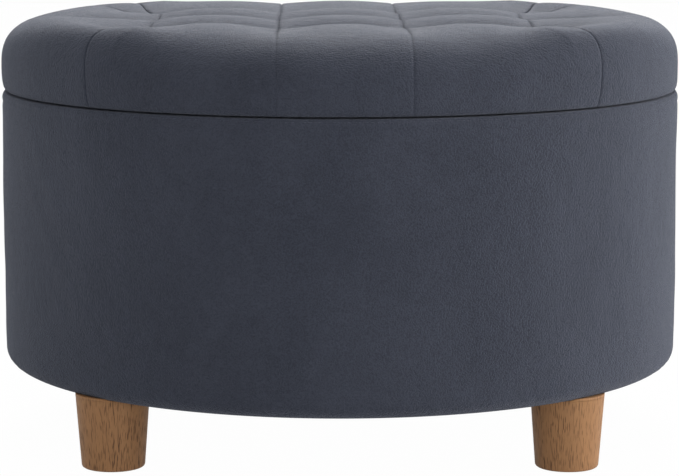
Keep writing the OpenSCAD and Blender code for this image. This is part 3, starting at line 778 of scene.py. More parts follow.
@dataclass
class LidCover:
    """Velvet over the lid: pillows between creases, a pit at each tuft and pleats at the rim.

    The cover is worked out on a flat grid, u to the right and v to the back, where the distance
    from the middle is the length along the lid's side outline. Pairs are where something starts
    and ends to fade; those of swing_on, swing_off and straight_off are degrees from the ends.
    """

    palette: Palette
    pitch: float = 0.1284
    cells_per_pitch: int = 64
    far: float = 9.0
    turn: float = math.radians(0.76)
    crown: Crown = Crown()
    lean: tuple[float, float] = (0.0022, 0.013)
    roll: float = 0.0022
    full: float = 0.0006
    hem_tuck: float = 0.0024
    hem_lift: float = 0.0003
    cap_lift: float = 0.0022
    long: Crease = Crease(0.0068, 0.0026, (0.230, 0.330))
    cross: Crease = Crease(0.0150, 0.0026, (0.235, 0.330))
    tuft: Crease = Crease(0.0150, 0.0050)
    pleat: Crease = Crease(0.0085, 0.0028, (0.265, 0.345))
    side: Crease = Crease(0.0006, 0.0008)
    corner: Crease = Crease(0.0006, 0.0012)
    bare: Crease = Crease(0.0, 0.0)
    inner_puff: float = 8.5
    outer_puff: tuple[float, float] = (4.6, 3.0)
    tuft_form: float = 2.0
    tuft_reach: float = 0.60
    settle: float = 0.0009
    rounding: float = 0.0008
    spread_top: float = 0.200
    spread_side: float = 0.018
    top_fade: float = 0.110
    passes: int = 260
    haste: float = 1.9
    shoulder: float = 0.0018
    shoulder_from_peak: tuple[float, float] = (0.012, 0.052)
    shoulder_across: tuple[float, float] = (0.190, 0.225)
    shoulder_start: tuple[float, float] = (0.150, 0.195)
    shoulder_end: tuple[float, float] = (0.215, 0.290)
    gather: Ridge = Ridge(0.72, 0.0, 0.006)
    gather_start: tuple[float, float] = (0.010, 0.030)
    fold_width: float = 0.0008
    fold_end: tuple[float, float] = (0.045, 0.036)
    pucker: float = 0.00025
    pucker_length: float = 0.015
    pucker_reach: tuple[float, float] = (0.002, 0.006)
    pucker_end: tuple[float, float] = (0.05, 0.03)
    uneven: float = 0.0004
    uneven_length: float = 0.16
    uneven_end: tuple[float, float] = (0.060, 0.042)
    swing: float = math.radians(7.3)
    swing_out: tuple[float, float] = (0.2315, 0.32)
    swing_on: tuple[float, float] = (14, 50)
    swing_off: tuple[float, float] = (57, 88)
    straight_off: tuple[float, float] = (13, 36)

    def __post_init__(self) -> None:
        """Reads the lid's place from the frame."""
        low, high, self.radius = round_box("lid_cover")
        self.z_low, self.z_top = low[2] - self.full, high[2]
        self.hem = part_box("lid_cloth")[1][0] - self.hem_tuck
        self.step = self.pitch / self.cells_per_pitch
        self.half, self.edge = 0.5 * self.pitch, 1.5 * self.pitch
        self.profiles = np.stack([self._profile(a) for a in np.linspace(0, math.pi / 2, 61)])
        self.reach = self._length(self.profiles[-1, :, :2])[-1]

    @staticmethod
    def _length(outline: np.ndarray) -> np.ndarray:
        """Length along an outline at each of its points."""
        return np.r_[0, np.cumsum(np.hypot(*np.diff(outline, axis=0).T))]

    def _profile(self, direction: float) -> np.ndarray:
        """Side outline in one direction, from the centre of the top to under the rim.

        Args:
            direction: angle from the ends, in radians.

        Returns:
            Evenly spaced rows of radius, height and slope angle.
        """
        low = self.z_low + self.roll
        bend = self.crown.outline(direction, self.radius, self.z_top)
        lean = leaning(self.radius, low, self.lean, 24)
        edge = arc((self.radius - self.lean[0] - self.roll, low), self.roll, 0, -90, 16)
        end = (self.hem, self.z_low + self.full + self.hem_lift)
        points = np.array([(0, self.z_top), *bend, *lean, *edge, end])
        along = self._length(points)
        places = np.linspace(0, along[-1], 1000)
        points = np.c_[np.interp(places, along, points[:, 0]), np.interp(places, along, points[:, 1])]
        tangent = np.gradient(points, places, axis=0)
        return np.c_[points, np.unwrap(np.arctan2(tangent[:, 1], tangent[:, 0]))]

    def _profile_at(self, direction: np.ndarray, rho: np.ndarray) -> np.ndarray:
        """Radius, height and slope angle at directions and lengths along the profile."""
        rows, columns = self.profiles.shape[:2]
        row = np.clip(direction / (math.pi / 2), 0, 1) * (rows - 1)
        column = np.clip(rho / self.reach, 0, 1) * (columns - 1)
        return np.moveaxis(read_between(self.profiles, row, column), -1, 0)

    def _grid(self) -> tuple[np.ndarray, np.ndarray, np.ndarray]:
        """Square grid laid over the unrolled cover, and which of its points are on the cover."""
        count = int(self.reach / self.step) + 2
        line = np.arange(-count, count + 1) * self.step
        u, v = np.meshgrid(line, line, indexing="ij")
        return u, v, np.hypot(u, v) <= self.reach + 0.35 * self.step

    def _crease_lines(self, u: np.ndarray, v: np.ndarray) -> list[tuple[Crease, np.ndarray, np.ndarray]]:
        """Lays out every family of creases.

        Args:
            u: places to the right.
            v: places to the back.

        Returns:
            Each family's kind, the distances from it and those along it to the nearest tuft.
        """
        u, v = np.abs(u), np.abs(v)
        rows = np.minimum(v, np.abs(v - self.pitch))
        columns = np.minimum(np.abs(u - self.half), np.abs(u - self.edge))
        past_u, past_v = np.maximum(u - self.edge, 0), np.maximum(v - self.pitch, 0)
        beyond = (u > self.edge) & (v > self.pitch)
        outer = np.where(beyond, np.abs(past_u - past_v) / math.sqrt(2), self.far)
        return [
            (self.long, np.abs(u - self.half), rows),
            (self.long, np.hypot(np.abs(u - self.edge), past_v), rows),
            (self.cross, np.abs(v - self.pitch), columns),
            (self.cross, v, columns),
            (self.pleat, outer, np.hypot(past_u, past_v)),
        ]

    def _depths(self, kind: Crease, to_tuft: np.ndarray, rho: np.ndarray) -> tuple[np.ndarray, np.ndarray]:
        """Works out how deep a crease is: deeper at a tuft and fading towards the lid's side.

        Args:
            kind: the kind of crease.
            to_tuft: distance to the nearest tuft.
            rho: distance from the lid's centre.

        Returns:
            Depth of the hollow and of the fold.
        """
        outwards = 1 - smooth_step(rho, *kind.fade)
        pull = np.clip(1 - to_tuft / (self.tuft_reach * self.pitch), 0, 1) ** self.tuft_form
        hollow = kind.hollow + (self.tuft.hollow - kind.hollow) * pull
        fold = kind.fold + (self.tuft.fold - kind.fold) * pull
        flank = {self.long: self.side, self.pleat: self.corner}.get(kind, self.bare)
        hollow = flank.hollow + (hollow - flank.hollow) * outwards
        return hollow, flank.fold + (fold - flank.fold) * outwards

    def _held(self, u: np.ndarray, v: np.ndarray, rho: np.ndarray) -> np.ndarray:
        """Works out where a crease or the hem holds the velvet.

        Args:
            u: places to the right.
            v: places to the back.
            rho: distance from the centre.

        Returns:
            The depth at each point, or nan where the velvet is free.
        """
        held = np.full(u.shape, np.nan)
        for kind, away, to_tuft in self._crease_lines(u, v):
            on = away < 0.3 * self.step
            held[on] = np.fmax(np.nan_to_num(held[on]), self._depths(kind, to_tuft, rho)[0][on])
        held[rho > self.reach - (self.radius - self.hem - self.lean[0])] = 0.0
        return held

    def _relax(self, u: np.ndarray, v: np.ndarray) -> np.ndarray:
        """Depth of the velvet: a skin puffed up by the foam and held down along the creases.

        Args:
            u: places to the right.
            v: places to the back.

        Returns:
            Depth below the plain profile at each point of the grid, in metres.
        """
        rho = np.hypot(u, v)
        held = self._held(u, v, rho)
        fixed = ~np.isnan(held)
        blend = smooth_step(rho, self.crown.end_crest, self.crown.end_crest + self.top_fade)
        spread = self.spread_top * (1 - blend) + self.spread_side * blend
        stiff = 4.0 + (self.step / spread) ** 2
        inner = (np.abs(u) < self.edge) & (np.abs(v) < self.pitch)
        outer = np.where(v < 0, *self.outer_puff) * (1 - blend)
        puff = np.where(inner, self.inner_puff, outer) * self.step**2
        depth = np.where(fixed, held, 0.0)
        odd = (np.add.outer(np.arange(u.shape[0]), np.arange(u.shape[1])) % 2).astype(bool)
        around = np.zeros_like(depth)
        for _ in range(self.passes):
            for turn in (odd & ~fixed, ~odd & ~fixed):
                beside = depth[2:, 1:-1] + depth[:-2, 1:-1]
                around[1:-1, 1:-1] = beside + depth[1:-1, 2:] + depth[1:-1, :-2]
                depth += np.where(turn, self.haste * ((around - puff) / stiff - depth), 0.0)
        crests = (np.abs(u) < self.half) & (rho < self.crown.end_crest)
        depth = depth - (depth[crests].min() - self.settle) * (1 - blend) + self._shoulders(u, v)
        return 0.5 * (depth + np.sqrt(depth**2 + self.rounding**2))

    def _shoulders(self, u: np.ndarray, v: np.ndarray) -> np.ndarray:
        """How much lower the front pillows lie beside their peaks."""
        from_peak = np.abs(np.abs(u) - self.pitch * np.round(np.minimum(np.abs(u) / self.pitch, 1)))
        low = smooth_step(from_peak, *self.shoulder_from_peak)
        low = low * (1 - smooth_step(np.abs(u), *self.shoulder_across))
        ends = 1 - smooth_step(-v, *self.shoulder_end)
        return self.shoulder * low * smooth_step(-v, *self.shoulder_start) * ends

    def _drawn(self, place: np.ndarray, lines: Sequence[float]) -> np.ndarray:
        """Draws places along one axis towards their nearest crease.

        Args:
            place: places along the axis.
            lines: places of the creases on it.

        Returns:
            The new places.
        """
        away = np.min([np.abs(place - line) for line in lines], axis=0)
        nearest = np.select([np.abs(place - line) == away for line in lines], lines)
        return place - (place - nearest) * self.gather.at(place - nearest)

    def _gathered(self, u: np.ndarray, v: np.ndarray) -> tuple[np.ndarray, np.ndarray]:
        """Draws the grid's points towards the creases, so that narrow folds keep their form.

        Args:
            u: places to the right.
            v: places to the back.

        Returns:
            The new places.
        """
        new_u = self._drawn(u, [-self.edge, -self.half, self.half, self.edge])
        new_v = self._drawn(v, [-self.pitch, 0.0, self.pitch])
        past_u, past_v = np.abs(u) - self.edge, np.abs(v) - self.pitch
        across = (past_u - past_v) / 2
        near = self.gather.at(across * math.sqrt(2))
        near *= smooth_step(np.minimum(past_u, past_v), *self.gather_start)
        return new_u - np.sign(u) * across * near, new_v + np.sign(v) * across * near

    def _read(self, grid: np.ndarray, u: np.ndarray, v: np.ndarray) -> np.ndarray:
        """Values on the even grid, read between its points."""
        middle, last = grid.shape[0] // 2, grid.shape[0] - 1.001
        row = np.clip(u / self.step + middle, 0, last)
        return read_between(grid, row, np.clip(v / self.step + middle, 0, last))

    def _faded(self, rho: np.ndarray, end: tuple[float, float]) -> np.ndarray:
        """1 on the lid, fading to 0 between two lengths counted back from the hem."""
        return 1 - smooth_step(rho, self.reach - end[0], self.reach - end[1])

    def _folds(self, u: np.ndarray, v: np.ndarray) -> np.ndarray:
        """Works out the narrow folds alone.

        Args:
            u: places to the right.
            v: places to the back.

        Returns:
            The depth that the folds add.
        """
        rho, fold = np.hypot(u, v), np.zeros(u.shape)
        for kind, away, to_tuft in self._crease_lines(u, v):
            deep = self._depths(kind, to_tuft, rho)[1]
            fold = np.maximum(fold, deep * np.exp(-away / self.fold_width))
        return fold * self._faded(rho, self.fold_end)

    def _details(self, u: np.ndarray, v: np.ndarray, depth: np.ndarray) -> np.ndarray:
        """Adds the puckers along the creases and the unevenness of foam and pile.

        Args:
            u: places to the right.
            v: places to the back.
            depth: depth so far.

        Returns:
            The new depth.
        """
        rho = np.hypot(u, v)
        inner, outer = self.pucker_end
        top = 1 - smooth_step(rho, self.radius - inner, self.radius + outer)
        fine, broad = Ripple(3), Ripple(11)
        start, width = self.pucker_reach
        pucker = np.zeros_like(depth)
        for _, away, to_tuft in self._crease_lines(u, v):
            beside = np.exp(-away / width) * (1 - np.exp(-away / start))
            pucker += beside * fine.at(to_tuft, 0.3 * away, self.pucker_length)
        uneven = self.uneven * broad.at(u, v, self.uneven_length)
        return depth + top * self.pucker * pucker + self._faded(rho, self.uneven_end) * uneven

    def _mapped(self, u: np.ndarray, v: np.ndarray, depth: np.ndarray) -> np.ndarray:
        """Rolls the grid up onto the lid and presses it in by its depth.

        Args:
            u: places to the right.
            v: places to the back.
            depth: how far each point lies below the plain profile.

        Returns:
            The points in the frame's coordinates.
        """
        rho = np.minimum(np.hypot(u, v), self.reach)
        angle = np.arctan2(u, -v)
        rear = np.abs(angle) > math.pi / 2
        end_on = np.where(rear, math.pi - np.abs(angle), np.abs(angle))
        r, z, lean = self._profile_at(end_on, rho)
        swing = smooth_step(rho, *self.swing_out) * self.swing
        swing = swing * turn_step(end_on, self.swing_on) * (1 - turn_step(end_on, self.swing_off))
        stretch = np.where(rho > 1e-6, rho / np.maximum(r, 1e-6), 1.0)
        straight = np.arcsin(np.clip(np.sin(end_on) * stretch, -1, 1))
        keep = turn_step(end_on, self.straight_off)
        turned = straight * (1 - keep) + end_on * keep - swing
        r, z = r + depth * np.sin(lean), z - depth * np.cos(lean)
        turned = np.where(rear, math.pi - turned, turned) * np.sign(angle) + self.turn
        return np.stack([r * np.sin(turned), -r * np.cos(turned), z], axis=-1)

    def build(self) -> bpy.types.Object:
        """Makes the cover as one closed padded piece that rides on the lid.

        Returns:
            The cover, which stands for the lid's velvet and foam.
        """
        u, v, on = self._grid()
        padding = self._relax(u, v)
        u, v = self._gathered(u, v)
        depth = self._details(u, v, self._read(padding, u, v) + self._folds(u, v))
        number = np.full(u.shape, -1)
        number[on] = np.arange(on.sum())
        quads = np.stack([number[:-1, :-1], number[1:, :-1], number[1:, 1:], number[:-1, 1:]], axis=-1)
        whole = (quads >= 0).all(axis=-1)
        rising = ((u * v)[:-1, :-1] + (u * v)[1:, 1:]) >= 0
        piece = self._close(self._mapped(u, v, depth)[on], quads[whole], rising[whole])
        make_room_for_hinges(piece)
        self.palette.dress(piece, Finish.VELVET)
        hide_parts("lid_cover", "lid_foam")
        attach(piece, "lid")
        return piece

    def _close(self, verts: np.ndarray, quads: np.ndarray, rising: np.ndarray) -> bpy.types.Object:
        """Joins the grid's faces and closes them underneath with a hidden flat face.

        Args:
            verts: the cover's points.
            quads: four point numbers for each cell of the grid.
            rising: which cells are split along their first diagonal.

        Returns:
            The cover as one closed mesh object.
        """
        first = np.r_[quads[rising][:, [0, 1, 2]], quads[rising][:, [0, 2, 3]]]
        second = np.r_[quads[~rising][:, [0, 1, 3]], quads[~rising][:, [1, 2, 3]]]
        piece = make_object("lid_velvet", verts, np.r_[first, second])
        mesh = bmesh.new()
        mesh.from_mesh(piece.data)
        loose = [vert for vert in mesh.verts if not vert.link_faces]
        bmesh.ops.delete(mesh, geom=loose, context="VERTS")
        rim = [edge for edge in mesh.edges if edge.is_boundary]
        cap = bmesh.ops.extrude_edge_only(mesh, edges=rim)["geom"]
        raised = [item for item in cap if isinstance(item, bmesh.types.BMVert)]
        for vert in raised:
            vert.co.z = self.z_low + self.cap_lift
        lip = [item for item in cap if isinstance(item, bmesh.types.BMEdge)]
        bmesh.ops.contextual_create(mesh, geom=lip)
        bmesh.ops.triangulate(mesh, faces=[f for f in mesh.faces if len(f.verts) > 4])
        bmesh.ops.recalc_face_normals(mesh, faces=mesh.faces)
        mesh.to_mesh(piece.data)
        mesh.free()
        return piece


def make_room_for_hinges(piece: bpy.types.Object) -> None:
    """Presses a cover back from the knuckles of both hinges."""
    spare, margin, ease = 0.0007, 0.001, 0.006
    verts = np.empty(len(piece.data.vertices) * 3)
    piece.data.vertices.foreach_get("co", verts)
    verts = verts.reshape(-1, 3)
    for side in ("left", "right"):
        low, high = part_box("hinge_pin_" + side)
        y, z = (low[1] + high[1]) / 2, (low[2] + high[2]) / 2
        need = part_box("hinge_leaf_body_" + side)[1][1] - y + spare
        off_y, off_z = verts[:, 1] - y, verts[:, 2] - z
        gap = np.maximum(np.hypot(off_y, off_z), 1e-6)
        beyond = np.maximum(low[0] - margin - verts[:, 0], verts[:, 0] - high[0] - margin)
        move = np.maximum(need - gap, 0) * (1 - smooth_step(beyond, 0.0, ease)) / gap
        verts[:, 1] += off_y * move
        verts[:, 2] += off_z * move
    piece.data.vertices.foreach_set("co", verts.ravel())
    piece.data.update()


# --------------------------------------------------------------------------- drum


@dataclass
class DrumCover:
    """Velvet and foam round the drum, from under the base to inside the rim.

    A pair such as waves holds a height and the length of its features. The grooves and ridges
    below the rim are placed down from the cover's top, and those at the seam along the cover.
    """

    palette: Palette
    around: int = 900
    step: float = 0.0034
    base_roll: float = 0.015
    edge_roll: float = 0.0024
    hem_roll: float = 0.0012
    full: float = 0.0009
    lean: tuple[float, float] = (0.0016, -0.010)
    hem_gap: float = 0.0003
    play: float = 0.0002
    foot: float = 0.004
    rim_groove: Ridge = Ridge(-0.0006, 0.0105, 0.0022)
    rim_swell: Ridge = Ridge(0.0004, 0.005, 0.003)
    seam: Ridge = Ridge(-0.0018, 0.0, 0.0016)
    seam_swell: Ridge = Ridge(0.0005, 0.005, 0.003)
    waves: tuple[float, float] = (0.0006, 0.17)
    ripples: tuple[float, float] = (0.00012, 0.05)
    tucks: tuple[float, float] = (0.0006, 0.02)
    tuck_fade: float = 0.006
    side_from: tuple[float, float] = (0.010, 0.001)
    waves_below_rim: tuple[float, float] = (0.012, 0.03)
    waves_above_base: tuple[float, float] = (0.012, 0.04)

    def __post_init__(self) -> None:
        """Reads the drum's place from the frame."""
        low, high, self.radius = round_box("side_cover")
        self.z_low, self.z_top = low[2], high[2] + self.full
        self.ring_inner, _, self.lining_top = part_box("well_lining")[1]
        self.base_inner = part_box("dust_cloth")[1][0] + self.hem_gap

    def _outline(self) -> tuple[np.ndarray, np.ndarray]:
        """Draws the side outline: what shows, and the hidden way back inside the wall.

        Returns:
            Radius and height of the points that show, and of those that don't.
        """
        r, base, edge, hem = self.radius, self.base_roll, self.edge_roll, self.hem_roll
        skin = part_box("wall_skin")[1][0] + self.play
        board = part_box("bottom_board")[0][2]
        ring_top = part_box("rim_ring")[1][2]
        well = self.ring_inner - LINING_THICK
        shown = [
            (self.base_inner, self.z_low),
            *arc((r - base, self.z_low + base), base, -90, 0, 24),
            *leaning(r, self.z_top - edge, self.lean, 16),
            *arc((r - self.lean[0] - edge, self.z_top - edge), edge, 0, 90, 8),
            *arc((well + hem, self.z_top - hem), hem, 90, 180, 6),
            (well, self.lining_top),
        ]
        hidden = [
            (self.ring_inner, self.lining_top),
            (self.ring_inner, ring_top),
            (skin, ring_top),
            (skin, board + self.foot),
            (self.radius - base, board),
            (self.base_inner, board),
        ]
        return thin_out(shown, self.step), np.array(hidden)

    def _push(self, shown: np.ndarray, angle: np.ndarray) -> np.ndarray:
        """How far each point of the shown face stands out from the plain drum.

        Args:
            shown: radius and height of each point of the outline that shows.
            angle: angles round the drum.

        Returns:
            The distances in metres, a row for each point and a column for each angle.
        """
        reach, height = shown[:, :1], shown[:, 1:]
        side = smooth_step(reach, *(self.radius - inward for inward in self.side_from))
        down, up = self.z_top - height, height - self.z_low
        broad, fine = Ripple(21), Ripple(22)
        waves = self._noise(broad, self.waves, angle, height)
        waves += self._noise(fine, self.ripples, angle, height)
        ends = smooth_step(down, *self.waves_below_rim) * smooth_step(up, *self.waves_above_base)
        seam_at = turn_from(angle, math.pi / 2)[None, :] * self.radius
        rim = self.rim_groove.at(down) + self.rim_swell.at(down)
        seam = self.seam.at(seam_at) + self.seam_swell.at(seam_at)
        tucks = np.exp(-(up / self.tuck_fade)) * self._noise(fine, self.tucks, angle, height)
        return side * (rim + waves * ends + seam) + tucks * side

    @staticmethod
    def _noise(ripple: Ripple, form: tuple[float, float], angle: np.ndarray,
               height: np.ndarray) -> np.ndarray:
        """Noise round the drum, of a height and with features of a length."""
        tall, length = form
        return ripple.around(angle, height, length) * tall

    def build(self) -> bpy.types.Object:
        """Makes the cover as one closed padded ring that rides on the drum.

        Returns:
            The cover, which stands for the drum's velvet and foam.
        """
        shown, hidden = self._outline()
        angle, outline = full_turn(self.around), np.r_[shown, hidden]
        push = np.r_[self._push(shown, angle), np.zeros((len(hidden), self.around))]
        r = outline[:, :1] + push
        verts = as_points(r * np.cos(angle), r * np.sin(angle), outline[:, 1:])
        piece = make_solid("drum_velvet", verts, ring_faces(len(outline), self.around, True))
        make_room_for_hinges(piece)
        self.palette.dress(piece, Finish.VELVET)
        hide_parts("side_cover", "wall_foam")
        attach(piece, "drum")
        return piece


@dataclass
class LegHeads:
    """A thin eased crown of wood on each leg, which closes the slot under the drum's rolled edge."""

    palette: Palette
    around: int = 96
    play: float = 0.0003
    sunk: float = 0.0012
    tall: float = 0.0020

    def build(self) -> list[bpy.types.Object]:
        """Makes one head for each leg, which rides on the drum."""
        return [self._head(number) for number in range(1, 5)]

    def _head(self, number: int) -> bpy.types.Object:
        """Makes one head: a disc whose top follows the roll and whose foot is hidden in the leg.

        Args:
            number: the leg's number.

        Returns:
            The head, which fills the slot over its leg.
        """
        low, high, radius = round_box(f"leg_{number}")
        centre, roll = (low + high) / 2, DrumCover.base_roll
        share = np.r_[1.0, 0.997, np.linspace(0.98, 0.2, 12)][:, None]
        angle = full_turn(self.around)
        x = centre.x + radius * share * np.cos(angle)
        y = centre.y + radius * share * np.sin(angle)
        over = np.clip(np.hypot(x, y) - round_box("side_cover")[2] + roll, 0, 0.998 * roll)
        under = high.z + roll - np.sqrt(roll**2 - over**2) - self.play
        z = np.minimum(under, high.z + self.tall)
        x, y, z = np.r_[x[:1], x], np.r_[y[:1], y], np.r_[0 * z[:1] + high.z - self.sunk, z]
        faces = capped_faces(len(x), self.around)
        piece = make_solid(f"leg_head_{number}", as_points(x, y, z), faces)
        self.palette.dress(piece, Finish.LEG_WOOD)
        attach(piece, "drum")
        return piece


@dataclass
class RimStitches:
    """Row of stitches that holds the velvet's hem to the lining inside the rim."""

    palette: Palette
    pitch: float = 0.006
    length: float = 0.0042
    thread: float = 0.0004
    above_hem: float = 0.003
    sunk_ends: float = 0.0006

    def build(self) -> bpy.types.Object:
        """Makes the stitches as one piece that rides on the drum."""
        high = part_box("well_lining")[1]
        radius = high[0] - LINING_THICK - self.thread * 0.3
        count = int(2 * math.pi * radius / self.pitch)
        half, dip = self.length / 2, self.sunk_ends
        path = [(-half, dip, 0), (-half * 0.6, 0, 0), (half * 0.6, 0, 0), (half, dip, 0)]
        places = ring_cloud(radius, high[2] + self.above_hem, count)
        model = tube_model(path, self.thread)
        piece = Scatter("hem_stitches", Finish.THREAD).run(places, model, self.palette)
        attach(piece, "drum")
        return piece


@dataclass
class Staples:
    """Ring of staples that holds a cloth to a board from below."""

    palette: Palette
    name: str
    body: str
    radius: float
    height: float
    count: int
    crown: float = 0.010
    wire: float = 0.0005
    legs: float = 0.002
    bend: float = 0.0004

    def build(self) -> bpy.types.Object:
        """Makes the staples as one piece that rides on their body."""
        half, legs, bend = self.crown / 2, self.legs, self.bend
        path = [(-half, 0, legs), (-half, 0, bend), (-half * 0.92, 0, 0), (half * 0.92, 0, 0),
                (half, 0, bend), (half, 0, legs)]
        places = ring_cloud(self.radius, self.height, self.count)
        model = tube_model(path, self.wire)
        piece = Scatter(self.name, Finish.ZINC, slack=0.06).run(places, model, self.palette)
        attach(piece, self.body)
        return piece


@dataclass
class ClothDisc:
    """Round sheet of black cloth under a board, stapled to it round the edge."""

    palette: Palette
    node: str
    body: str
    on: str
    finish: Finish
    sag: float
    folds: float = 0.0005
    fold_length: float = 0.12
    pulls: int = 30
    pull_reach: float = 0.05
    turned_edge: tuple[float, float] = (0.0006, 0.0012)
    thick: float = 0.6
    rings: int = 90
    around: int = 360
    seed: int = 31

    def _hang(self, radius: float, rho: np.ndarray, angle: np.ndarray) -> np.ndarray:
        """Hangs the cloth below its board: it sags, folds and is pulled at the staples.

        Args:
            radius: the cloth's radius.
            rho: distances from the middle.
            angle: angles round it.

        Returns:
            The distance below the board's face.
        """
        inwards = radius - rho
        near_edge = np.exp(-inwards / self.pull_reach)
        pulls = np.sin(angle * self.pulls + 1.3) * near_edge * 0.5
        ripple = Ripple(self.seed).at(rho * np.cos(angle), rho * np.sin(angle), self.fold_length)
        wave = ripple * (1 - near_edge) + pulls
        sag = self.sag * (1 - (rho / radius) ** 2)
        hang = sag + self.folds * (wave + 1) * smooth_step(inwards, 0.0, 0.02)
        return np.minimum(hang, self.sag + 2 * self.folds)

    def build(self) -> bpy.types.Object:
        """Makes the sheet as a thin closed disc with a turned edge.

        Returns:
            The sheet, which stands for the CAD disc.
        """
        low, high, radius = round_box(self.node)
        rho = np.linspace(0.004, 1, self.rings)[:, None] * radius
        angle = full_turn(self.around)[None, :]
        rise, width = self.turned_edge
        z_face = low[2] - self._hang(radius, rho, angle) + rise * np.exp(-(radius - rho) / width)
        x, y = rho * np.cos(angle), rho * np.sin(angle)
        back = low[2] + (high[2] - low[2]) * self.thick
        verts = np.r_[as_points(x, y, z_face), as_points(x[-1], y[-1], back)]
        faces = capped_faces(self.rings + 1, self.around)
        piece = make_solid(self.node + "_sheet", verts, faces)
        self.palette.dress(piece, self.finish)
        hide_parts(self.node)
        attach(piece, self.body)
        return piece


@dataclass
class WellLining:
    """Cloth-covered card round the well, butted at one upright seam, and the padded floor."""

    palette: Palette
    around: int = 720
    rows: int = 60
    floor_rings: int = 80
    seam: Ridge = Ridge(0.0007, 0.0, 0.0012)
    seam_turn: float = 1.92
    loose: float = 0.0004
    loose_length: float = 0.13
    held_edge: float = 0.03
    crown: float = 0.0012
    floor_waves: tuple[float, float] = (0.0005, 0.15)
    floor_edge: float = 0.004

    def build_wall(self) -> bpy.types.Object:
        """Makes the wall as a thin closed tube, a little wavy, with a seam at the back."""
        low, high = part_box("well_lining")
        outer, inner, angle = high[0], high[0] - LINING_THICK, full_turn(self.around)
        height = np.linspace(low[2], high[2], self.rows)[:, None]
        wave = Ripple(41).around(angle, height, self.loose_length)
        free = smooth_step(height - low[2], 0.0, self.held_edge)
        free = free * smooth_step(high[2] - height, 0.0, self.held_edge)
        seam = self.seam.at(turn_from(angle, self.seam_turn)[None, :] * inner)
        r_in = inner - self.loose * (wave + 0.8) * free + seam
        shown = as_points(r_in * np.cos(angle), r_in * np.sin(angle), height)
        hidden = as_points(outer * np.cos(angle), outer * np.sin(angle), np.array([[high[2]], [low[2]]]))
        faces = ring_faces(self.rows + 2, self.around, True)
        piece = make_solid("well_lining_cloth", np.r_[shown, hidden], faces)
        self.palette.dress(piece, Finish.LINING)
        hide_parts("well_lining")
        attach(piece, "drum")
        return piece

    def build_floor(self) -> bpy.types.Object:
        """Makes the floor as a crowned pad with a soft rounded edge."""
        low, high, radius = round_box("well_floor")
        rho = radius * np.r_[np.linspace(0.004, 0.985, self.floor_rings), np.linspace(0.986, 1, 10)]
        angle, rho = full_turn(self.around // 2), rho[:, None]
        x, y = rho * np.cos(angle), rho * np.sin(angle)
        edge = np.clip((radius - rho) / self.floor_edge, 0, 1)
        tall, length = self.floor_waves
        lift = self.crown * (1 - (rho / radius) ** 2) + tall * Ripple(43).at(x, y, length) * edge
        thick = (high[2] - low[2]) * (0.45 + 0.55 * np.sqrt(1 - (1 - edge) ** 2))
        verts = np.r_[as_points(x, y, low[2] + thick + lift * edge), as_points(x[-1], y[-1], low[2])]
        faces = capped_faces(len(rho) + 1, len(angle))
        piece = make_solid("well_floor_pad", verts, faces)
        self.palette.dress(piece, Finish.LINING)
        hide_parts("well_floor")
        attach(piece, "drum")
        return piece


# --------------------------------------------------------------------------- small parts


@dataclass
class Glides:
    """Felt discs under the legs, with soft worn edges."""

    palette: Palette
    soft: float = 0.0008
    around: int = 64

    def build(self) -> list[bpy.types.Object]:
        """Makes the four discs, each riding on the drum."""
        made = []
        for number in range(1, 5):
            node = f"glide_{number}"
            low, high, r = round_box(node)
            centre, s, thick = (low + high) / 2, self.soft, high[2] - low[2]
            outline = np.array([(0.001, 0), (r * 0.6, 0), *arc((r - s, s), s, -90, 0, 6),
                                (r, thick - s * 0.2), (r * 0.6, thick), (0.001, thick)])
            angle, reach, height = full_turn(self.around), outline[:, :1], outline[:, 1:]
            x, y = centre.x + reach * np.cos(angle), centre.y + reach * np.sin(angle)
            faces = capped_faces(len(outline), self.around)
            piece = make_solid(f"felt_glide_{number}", as_points(x, y, height), faces)
            self.palette.dress(piece, Finish.FELT)
            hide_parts(node)
            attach(piece, "drum")
            made.append(piece)
        return made


class Driven(Enum):
    """Which way screws are driven; the value is the turn about X that aims them."""

    DOWN = math.pi
    UP = 0.0


@dataclass
class ScrewSet:
    """Countersunk screws with a cross recess, in place of one node of plain ones."""

    palette: Palette
    node: str
    body: str
    driven: Driven
    head: float = 0.0035
    shank: float = 0.00175
    sink: float = 0.00175
    long: float = 0.009
    point: float = 0.002
    tip: float = 0.0002
    around: int = 16
    blades: tuple[float, float] = (1.45, 0.55)
    spin: float = 0.3

    def _model(self) -> bpy.types.Object:
        """One screw that points along +Z from the middle of its head."""
        cross = np.where(np.arange(self.around) % 4 == 0, *self.blades)
        recess = [(0.0012, 0.0010), (0.0013, 0.0)]
        body = [(self.head, 0.0), (self.shank, self.sink), (self.shank, self.long),
                (self.tip, self.long + self.point)]
        reach = [r * cross for r, _ in recess] + [np.full(self.around, r) for r, _ in body]
        height = np.array([[z] for _, z in recess + body])
        angle = full_turn(self.around)
        verts = as_points(np.array(reach) * np.cos(angle), np.array(reach) * np.sin(angle), height)
        return make_solid("screw", verts, capped_faces(len(height), self.around), smooth=False)

    def _head(self, low: Vector, high: Vector) -> tuple[float, float, float]:
        """Middle of a screw's head, from the screw's box."""
        top = high if self.driven is Driven.DOWN else low
        return (*((low + high) / 2).xy, top.z)

    def build(self) -> bpy.types.Object:
        """Makes the set as one piece that rides on its body."""
        heads = [self._head(*box) for box in islands(self.node)]
        cloud = point_cloud(heads, [(self.driven.value, 0, self.spin)] * len(heads))
        piece = Scatter(self.node + "_set", Finish.ZINC, seed=5).run(cloud, self._model(), self.palette)
        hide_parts(self.node)
        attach(piece, self.body)
        return piece


# --------------------------------------------------------------------------- frame finishes

